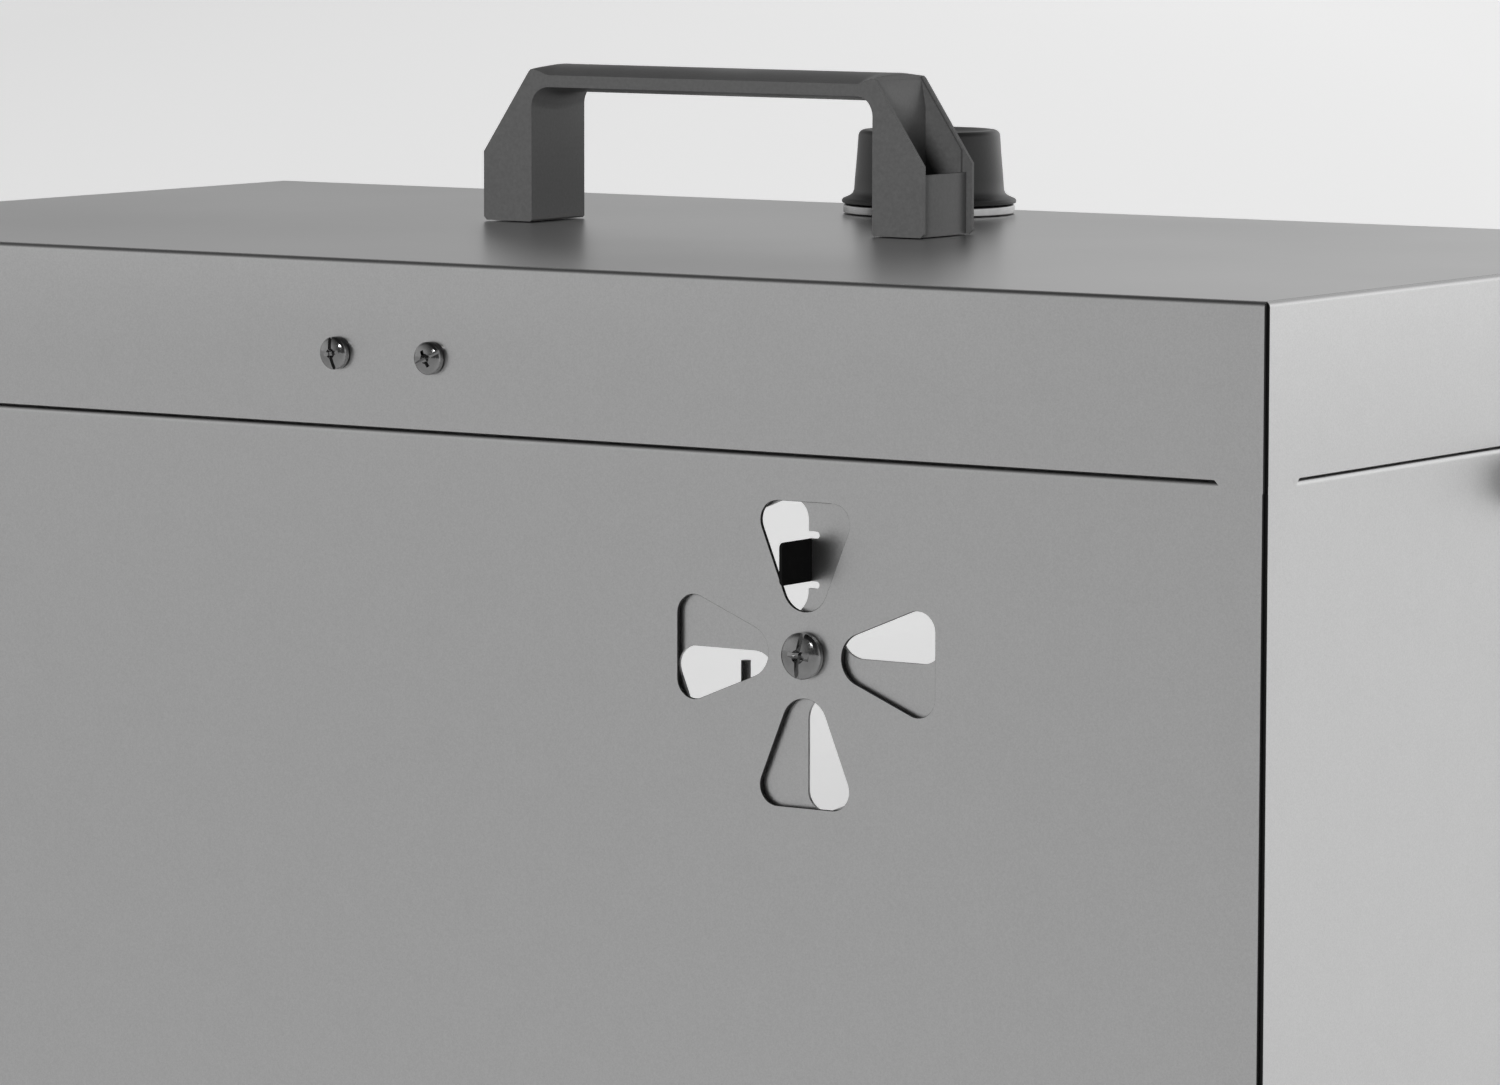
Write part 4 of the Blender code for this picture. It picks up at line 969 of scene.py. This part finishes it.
def screw(name, place, way, head, tall, reach, turn, slot_width, slotted=True):
    crown = tall * 0.42
    rim = tall - crown
    sphere = (head ** 2 + crown ** 2) / (2 * crown)
    wide = asin(0.93 * head / sphere)
    outline = [(0, -reach), (SHANK - 0.4 * MM, -reach), (SHANK, -reach + 0.4 * MM), (SHANK, 0),
               (head - 0.15 * MM, 0), (head, 0.15 * MM), (head, rim * 0.8)]
    outline += [(sphere * sin(wide * step / 8),
                 rim + crown - sphere + sphere * cos(wide * step / 8)) for step in range(8, -1, -1)]
    shape = bmesh.new()
    lathe(shape, outline, (0, 0, 0), (0, 0, 1), 40)
    deep = tall * 0.55
    top = tall + 0.2 * MM
    half = slot_width / 2
    short = head * 0.62
    long = head if slotted else short
    slot, arm, well = bmesh.new(), bmesh.new(), bmesh.new()
    cube(slot, (-long, -half, tall - deep), (long, half, top))
    cube(arm, (-half, -short, tall - deep * 1.05), (half, short, top))
    for vert in arm.verts:
        if vert.co.z < tall:
            vert.co.y *= 0.55
    bar(well, (0, 0, tall - deep * 1.5), (0, 0, top), head * 0.10, 16, head * 0.34)
    for tool in (slot, arm, well):
        shape = carved(shape, tool, name + "_shape")
    bmesh.ops.rotate(shape, verts=shape.verts, matrix=Matrix.Rotation(turn, 3, "Z"))
    bmesh.ops.transform(shape, matrix=Matrix.Translation(Vector(place)) @ aimed(way),
                        verts=shape.verts)
    hand_over(shape, name + "_fine", "cabinet", CHROME, [name], 0.1 * MM, 2,
              edge_angle=35)


print("screw maker ready")

# %% [markdown]
# The two hood screws and the damper's pivot screw are the combination kind, and each stopped at
# its own angle when it came tight. Their heads bear on the sheet, a hair in front of it.

# %% Put the screws in
HEAD_SEAT = 0.3 * MM
for name, angle, tall, width in (("hood_screw_left", 100, 2.6 * MM, 0.95 * MM),
                                 ("hood_screw_right", 28, 2.6 * MM, 0.95 * MM),
                                 ("damper_screw", 82, None, 1.2 * MM)):
    low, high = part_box(name)
    seat = FRONT - HEAD_SEAT
    across, _, up = middle(name)
    screw(name, (across, seat, up), (0, -1, 0), (high.x - low.x) / 2, tall or seat - low.y,
          high.y - FRONT, radians(angle), width)
print("screws made")

# %% [markdown]
# The fan, feet and handle take plain cross-recess screws. They come from the same function, with
# sizes read from the solid screws: the head is on the side they are driven from.

# %% Put in the other screws
for start, way, tall in (("fan_screw", (-1, 0, 0), 2.2 * MM), ("foot_screw", (0, 0, -1), 2.8 * MM),
                         ("handle_screw", (0, 0, 1), 3.0 * MM)):
    for index, name in enumerate(sorted(name for name in nodes if name.startswith(start))):
        low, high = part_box(name)
        whole = abs((high - low).dot(Vector(way)))
        place = (low + high) / 2 + Vector(way) * (whole / 2 - tall)
        screw(name, place, way, (high.y - low.y) / 2, tall, whole - tall, radians(20 + 37 * index),
              0.9 * MM, slotted=False)
    print(start, "set of", index + 1)

# %% [markdown]
# ## The fan
#
# A guard like this is bent and welded from steel wire: rings in front of two crossed wires, with an
# eye at each corner for the screw. A round profile turned about the fan's axis makes each ring.

# %% Bend the fan guard
WIRE = 1.0 * MM
CROSS_WIRE = 1.05 * MM
RING_OUT = 3.0 * MM             # how far the rings stand from the wall
CROSS_OUT = 1.6 * MM
EYE = 3.55 * MM
guard = bmesh.new()
cross = Vector((LEFT - CROSS_OUT, FAN_Y, FAN_Z))
for radius in (16 * MM, 30 * MM, 44 * MM):
    ring = bmesh.new()
    lathe(ring, circle(WIRE, 12, radius), (LEFT - RING_OUT, FAN_Y, FAN_Z), (-1, 0, 0), 96)
    joined(guard, ring)
for side in (-1, 1):
    away = Vector((0, side, 1)).normalized() * (FAN_HOLE * 2 ** 0.5 - 3.6 * MM)
    bar(guard, cross - away, cross + away, CROSS_WIRE, 16)
    for level in (-1, 1):
        eye = bmesh.new()
        outline = [(EYE + 1.2 * MM * cos(turn), 0.95 * MM * sin(turn))
                   for turn in [2 * pi * step / 12 for step in range(12)]]
        lathe(eye, outline, cross + Vector((0, side * FAN_HOLE, level * FAN_HOLE)), (-1, 0, 0), 40)
        joined(guard, eye)
hand_over(guard, "fan_guard_wire", "cabinet", ZINC, ["fan_guard"])
print("guard wires bent")

# %% [markdown]
# The impeller is one moulding: a cup-shaped hub over the motor, with five cambered blades. Each
# blade is lofted through seven sections. A section is a thin arched aerofoil, laid on a cylinder
# round the axis, so the tips follow the barrel. It is steep at the hub and flatter at the tip,
# because the tip moves faster.

# %% Loft the impeller
BLADES = 5
STATIONS = 7
ROOT, TIP = 21.6 * MM, 55.2 * MM
ARCH = 3.0 * MM
BLADE_AT = 15.2 * MM
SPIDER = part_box("fan_frame")[0].x + 4 * MM
impeller = bmesh.new()
lathe(impeller, in_mm([(0, 25.5), (20.6, 25.5), (21.8, 25.0), (22.5, 23.9), (22.5, 1.5), (20, 1.5),
                       (20, 23.3), (0, 23.3)]), (SPIDER, FAN_Y, FAN_Z), (1, 0, 0), 72)
for index in range(BLADES):
    sections = []
    for station in range(STATIONS):
        share = station / (STATIONS - 1)
        radius = ROOT + (TIP - ROOT) * share
        half = (13.0 + station / 4) * MM
        lean = radians(30 + 14 * share)
        surface = []
        for side in (1, -1):
            for step in range(8):
                chord = side * (step / 4 - 1)
                round_off = 1 - chord ** 2
                arch = ARCH * round_off + side * (0.25 + 0.65 * round_off) * MM
                out = chord * half * cos(lean) - arch * sin(lean)
                turn = (chord * half * sin(lean) + arch * cos(lean)) / radius
                turn += 2 * pi * index / BLADES
                surface.append(impeller.verts.new((SPIDER + BLADE_AT + out,
                                                   FAN_Y + radius * sin(turn),
                                                   FAN_Z + radius * cos(turn))))
        sections.append(surface)
    for first, second in zip(sections, sections[1:]):
        for step in range(len(first)):
            after = (step + 1) % len(first)
            impeller.faces.new((first[step], first[after], second[after], second[step]))
    impeller.faces.new(sections[0])
    impeller.faces.new(sections[-1])
bmesh.ops.recalc_face_normals(impeller, faces=impeller.faces)
hand_over(impeller, "impeller_moulding", "impeller", BLACK_PLASTIC, ["impeller"])
print("impeller has", BLADES, "blades")

# %% [markdown]
# ## The cable gland
#
# A gland is a hexagon collar, a thread through the wall and a domed cap with ribs for the fingers.
# The cap squeezes a rubber sleeve round the cable. The body is turned, thread and all, and the
# hexagon and the ribs are bars that stand in it.

# %% Turn the cable gland
RIBS = 20
GLAND = Vector((RIGHT, GLAND_Y, GLAND_Z))
outline = [(3.0, -9), (4.6, -9)]
for step in range(9):
    outline += [(4.95, -8.7 + step), (4.6, -8.2 + step)]
outline += [(5.0, 0.3), (6.4, 0.3), (6.4, 5.6), (6.1, 5.8), (6.1, 6.1), (6.5, 6.5), (6.5, 13.7),
            (6.2, 14.7), (5.5, 16.4), (4.8, 17.6), (4.1, 18.0), (3.3, 17.8), (3.0, 17.3)]
gland = bmesh.new()
lathe(gland, in_mm(outline), GLAND, (1, 0, 0), 64)
bar(gland, GLAND + Vector((0.3 * MM, 0, 0)), GLAND + Vector((5.3 * MM, 0, 0)), 6.7 * MM, 6)
for step in range(RIBS):
    turn = 2 * pi * step / RIBS
    rib = GLAND + Vector((0, cos(turn), sin(turn))) * 6.45 * MM
    bar(gland, rib + Vector((7.0 * MM, 0, 0)), rib + Vector((13.6 * MM, 0, 0)), 0.42 * MM, 8)
hand_over(gland, "cable_gland_fine", "cabinet", BLACK_PLASTIC, ["cable_gland"],
          0.15 * MM, 2, edge_angle=50)
print("gland has", RIBS, "ribs")

# %% [markdown]
# ## Feet, hinges and latch
#
# The feet are rubber buffers with a recess for the screw and a groove that helps them grip. One
# profile, turned four times, makes them.

# %% Mould the feet
outline = in_mm([(14.5, 12), (14.4, 11.2), (13.0, 2.6), (12.7, 1.3), (12.2, 0.4), (11.4, 0),
                 (10.4, 0), (10.0, 0.5), (9.0, 0.5), (8.6, 0), (6.5, 0), (6.0, 0.5), (6.0, 6.0),
                 (2.6, 6.0), (2.6, 12)])
for name in sorted(name for name in nodes if name.startswith("rubber_foot")):
    across, back, _ = middle(name)
    foot = bmesh.new()
    lathe(foot, outline, (across, back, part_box(name)[0].z), (0, 0, 1), 64)
    hand_over(foot, name + "_fine", "cabinet", RUBBER, [name])
print("feet moulded")

# %% [markdown]
# Many parts already have the right outline in the solid model: pressed hinge leaves, pins, plates
# and nuts. For those the solid is read into a bmesh, the flat faces that its triangles make are
# merged again, and a bevel softens the edges. Hinge leaves also gain the domes of their rivets.

# %% Soften the hinges
RIVET = 2.4 * MM
DOME = 0.38                     # a rivet's height, as a share of its radius
slots = {entry["node"]: entry["material_slot"] for entry in frame["record"]["subparts"]}


def refined(node, body, finish, edge, rivets=()):
    """A solid piece with its own outline, soft edges and rivets in the given places."""
    shape = bmesh.new()
    shape.from_mesh(nodes[node].data)
    bmesh.ops.transform(shape, matrix=nodes[node].matrix_world, verts=shape.verts)
    bmesh.ops.remove_doubles(shape, verts=shape.verts, dist=HAIR)
    bmesh.ops.dissolve_limit(shape, angle_limit=radians(1), verts=shape.verts, edges=shape.edges)
    for place in rivets:
        matrix = Matrix.Translation(place) @ Matrix.Diagonal((1, DOME, 1, 1))
        bmesh.ops.create_uvsphere(shape, u_segments=24, v_segments=12, radius=RIVET, matrix=matrix)
    hand_over(shape, node + "_fine", body, finish, [node], edge, 2)


for level in ("upper", "lower"):
    low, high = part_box("hinge_leaf_door_" + level)
    height = (low.z + high.z) / 2
    face = high.y - 3.5 * MM
    rivets = [Vector((low.x + across * MM, face, height + up * MM))
              for across, up in ((6, -12), (6, 12), (14, 0))]
    refined("hinge_leaf_door_" + level, "door", ZINC, 0.35 * MM, rivets)
    low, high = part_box("hinge_leaf_fixed_" + level)
    rivets = [Vector((high.x - 4 * MM, face - 0.8 * MM, height + up * MM)) for up in (-12, 12)]
    refined("hinge_leaf_fixed_" + level, "cabinet", ZINC, 0.35 * MM, rivets)
    refined("hinge_pin_" + level, "cabinet", ZINC, 0.3 * MM)
print("hinges softened")

# %% [markdown]
# The latch is a turned button with a thin rod across it. Behind the pane, its spindle carries a
# flat blade that hooks behind the wall's edge.

# %% Turn the latch
lever_low, lever_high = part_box("latch_lever")
LATCH = Vector((middle("latch_lever")[0], lever_low.y, lever_low.z + 7 * MM))
deep = (lever_high.y - lever_low.y) / MM
outline = [(0, 0), (6.6, 0), (7.0, 0.4), (7.0, deep * 0.42), (6.7, deep * 0.5), (5.5, deep * 0.56),
           (5.4, deep - 1.3), (5.1, deep - 0.5), (4.4, deep), (3.2, deep), (2.4, deep - 0.5),
           (0, deep - 0.6)]
lever = bmesh.new()
lathe(lever, in_mm(outline), LATCH, (0, 1, 0), 64)
rod_foot = Vector((LATCH.x, BACK + 11 * MM, LATCH.z))
bar(lever, rod_foot, (rod_foot.x, rod_foot.y, lever_high.z), 1.4 * MM)
hand_over(lever, "latch_lever_fine", "latch", BLACK_PLASTIC, ["latch_lever"],
          0.1 * MM, 2, edge_angle=60)
refined("latch_spindle", "latch", ZINC, 0.3 * MM)
refined("latch_blade", "latch", ZINC, 0.4 * MM)
print("latch at", [round(place, 3) for place in LATCH])

# %% [markdown]
# Inner sheets, posts, nuts and the speed control are plain parts that are cut, bent or bought. Their
# outline is already right, so they only gain soft edges and the finish of their own material.

# %% Soften the inner parts
for names, finish, edge in (
        (("corner_post_", "deck_plate", "bottom_pan", "air_baffle", "control_bracket"),
         INNER_STEEL, 0.15 * MM),
        (("fan_frame", "fan_motor"), CASTING, 0.4 * MM),
        (("terminal_block", "speed_control"), BLACK_PLASTIC, 0.3 * MM),
        (("gland_nut",), BLACK_PLASTIC, 0.3 * MM),
        (("control_nut", "damper_nut", "damper_washer"), ZINC, 0.12 * MM),
        (("circuit_board",), BOARD, 0.1 * MM)):
    for node in sorted(nodes):
        if node.startswith(names):
            refined(node, "cabinet", finish, edge)
    print("softened", names)
refined("control_shaft", "speed_knob", ALUMINIUM, 0.2 * MM)
refined("door_pane", "door", CLEAR, 0.5 * MM)
print("pane softened")

# %% [markdown]
# ## The stage and the light
#
# A wide pale floor runs back until it fills the view, so there is no wall to plan for. Satin metal
# mostly shows what it faces: the damper wall faces the floor in front and to the left, and the end
# wall the floor behind and to the right, so the floor's colour is painted a little brighter that
# way, as painted light. It also glows a little by itself, which keeps its far part as pale as its
# near part.

# %% Make the floor
FLOOR_REACH = 60
FLOOR_FRONT, FLOOR_BACK = 0.68, 0.96
FLOOR_SIDE = 0.85               # the left side's share of the right side's tone
FLOOR_GLOW = 0.44
floor_shape = bmesh.new()
bmesh.ops.create_grid(floor_shape, x_segments=8, y_segments=8, size=FLOOR_REACH)
floor_mesh = bpy.data.meshes.new("floor")
floor_shape.to_mesh(floor_mesh)
floor_shape.free()
floor = bpy.data.objects.new("floor", floor_mesh)
bpy.context.scene.collection.objects.link(floor)
pale, pale_tree, pale_shader, pale_place = node_tree("pale_floor")
backwards = along(pale_tree, pale_place, (0.557, 0.83, 0))
sideways = along(pale_tree, pale_place, (0.83, 0.557, 0))
# The floor's tone is painted light, brighter behind and to the right. The glow uses it too.
floor_painted_light = arithmetic(pale_tree, "MULTIPLY",
                       spread(pale_tree, backwards, FLOOR_FRONT, FLOOR_BACK, -1.0, 0.9),
                       spread(pale_tree, sideways, FLOOR_SIDE, 1.0, -1.4, 1.2))
for socket in ("Base Color", "Emission Color"):
    pale_tree.links.new(grey(pale_tree, floor_painted_light), pale_shader.inputs[socket])
pale_shader.inputs["Emission Strength"].default_value = FLOOR_GLOW
pale_shader.inputs["Roughness"].default_value = 0.9
pale_shader.inputs["Specular IOR Level"].default_value = 0.0
floor_mesh.materials.append(pale)
print("floor laid")

# %% [markdown]
# The sky is a dim base with three wide glows, each a smooth step on how far a direction points
# their way: one to the right and behind for the end wall, one to the left for the damper wall,
# and a weak one behind for the lid. It is full near the horizon and fades higher up. A low soft
# sun from the front gives the moulded pieces their light near faces. Its mirror image in the
# lid and the door would be a blinding spot, so it is hidden from glossy rays. A small high one
# stays visible, for the bright points on the screws.

# %% Light the scene
SKY_BASE = 0.10
SKY_GLOWS = [                   # direction, strength, and the cosines where the glow starts and is full
    ((0.72, 0.69, 0.0), 1.00, -0.10, 0.95),
    ((-0.90, -0.44, 0.0), 0.61, 0.45, 1.00),
    ((-0.55, 0.82, 0.1), 0.30, 0.20, 1.00),
]
FADE_START, FADE_END = 0.22, 0.65
HIGH_SKY = 0.35                 # what is left of the sky's light above the fade
SUNS = [                        # name, direction, strength, width in degrees, seen in mirrors
    ("front_light", (0.32, -0.94, 0.12), 4.4, 14, False),
    ("upper_light", (0.02, -0.92, 0.39), 0.22, 9, True),
]
world = bpy.data.worlds.new("soft_studio")
world.use_nodes = True
sky = world.node_tree
looking = sky.nodes.new("ShaderNodeTexCoord").outputs["Generated"]
total = SKY_BASE
for way, strength, start, end in SKY_GLOWS:
    glow = spread(sky, along(sky, looking, way), 0.0, strength, start, end, smooth=True)
    total = arithmetic(sky, "ADD", glow, total)
height = along(sky, looking, (0, 0, 1))
fade = spread(sky, height, 1.0, HIGH_SKY, FADE_START, FADE_END, smooth=True)
background = sky.nodes["Background"]
background.inputs["Color"].default_value = (1, 1, 1, 1)
sky.links.new(arithmetic(sky, "MULTIPLY", total, fade), background.inputs["Strength"])
bpy.context.scene.world = world
for name, way, energy, width, mirrored in SUNS:
    data = bpy.data.lights.new(name, "SUN")
    data.energy = energy
    data.angle = radians(width)
    lamp = bpy.data.objects.new(name, data)
    lamp.rotation_euler = Vector(way).to_track_quat("Z", "Y").to_euler()
    lamp.visible_glossy = mirrored
    bpy.context.scene.collection.objects.link(lamp)
bpy.context.scene.view_settings.view_transform = "Standard"
print("sky and", len(SUNS), "suns ready")

# %% [markdown]
# The solid pieces under the fine ones still get the finish of their slot, in case one of them is
# ever shown by itself.

# %% Finish the solids
solid_finishes = {
    "satin_steel": INNER_STEEL, "bright_zinc": ZINC, "turned_aluminium": ALUMINIUM,
    "handle_plastic": HANDLE_PLASTIC, "knob_plastic": KNOB_PLASTIC, "black_plastic": BLACK_PLASTIC,
    "cast_aluminium": CASTING, "rubber": RUBBER, "board": BOARD, "clear_acrylic": CLEAR,
}
for node, slot in slots.items():
    solid = nodes[node].data
    solid.materials.clear()
    solid.materials.append(solid_finishes[slot])
print(len(slots), "solids finished")
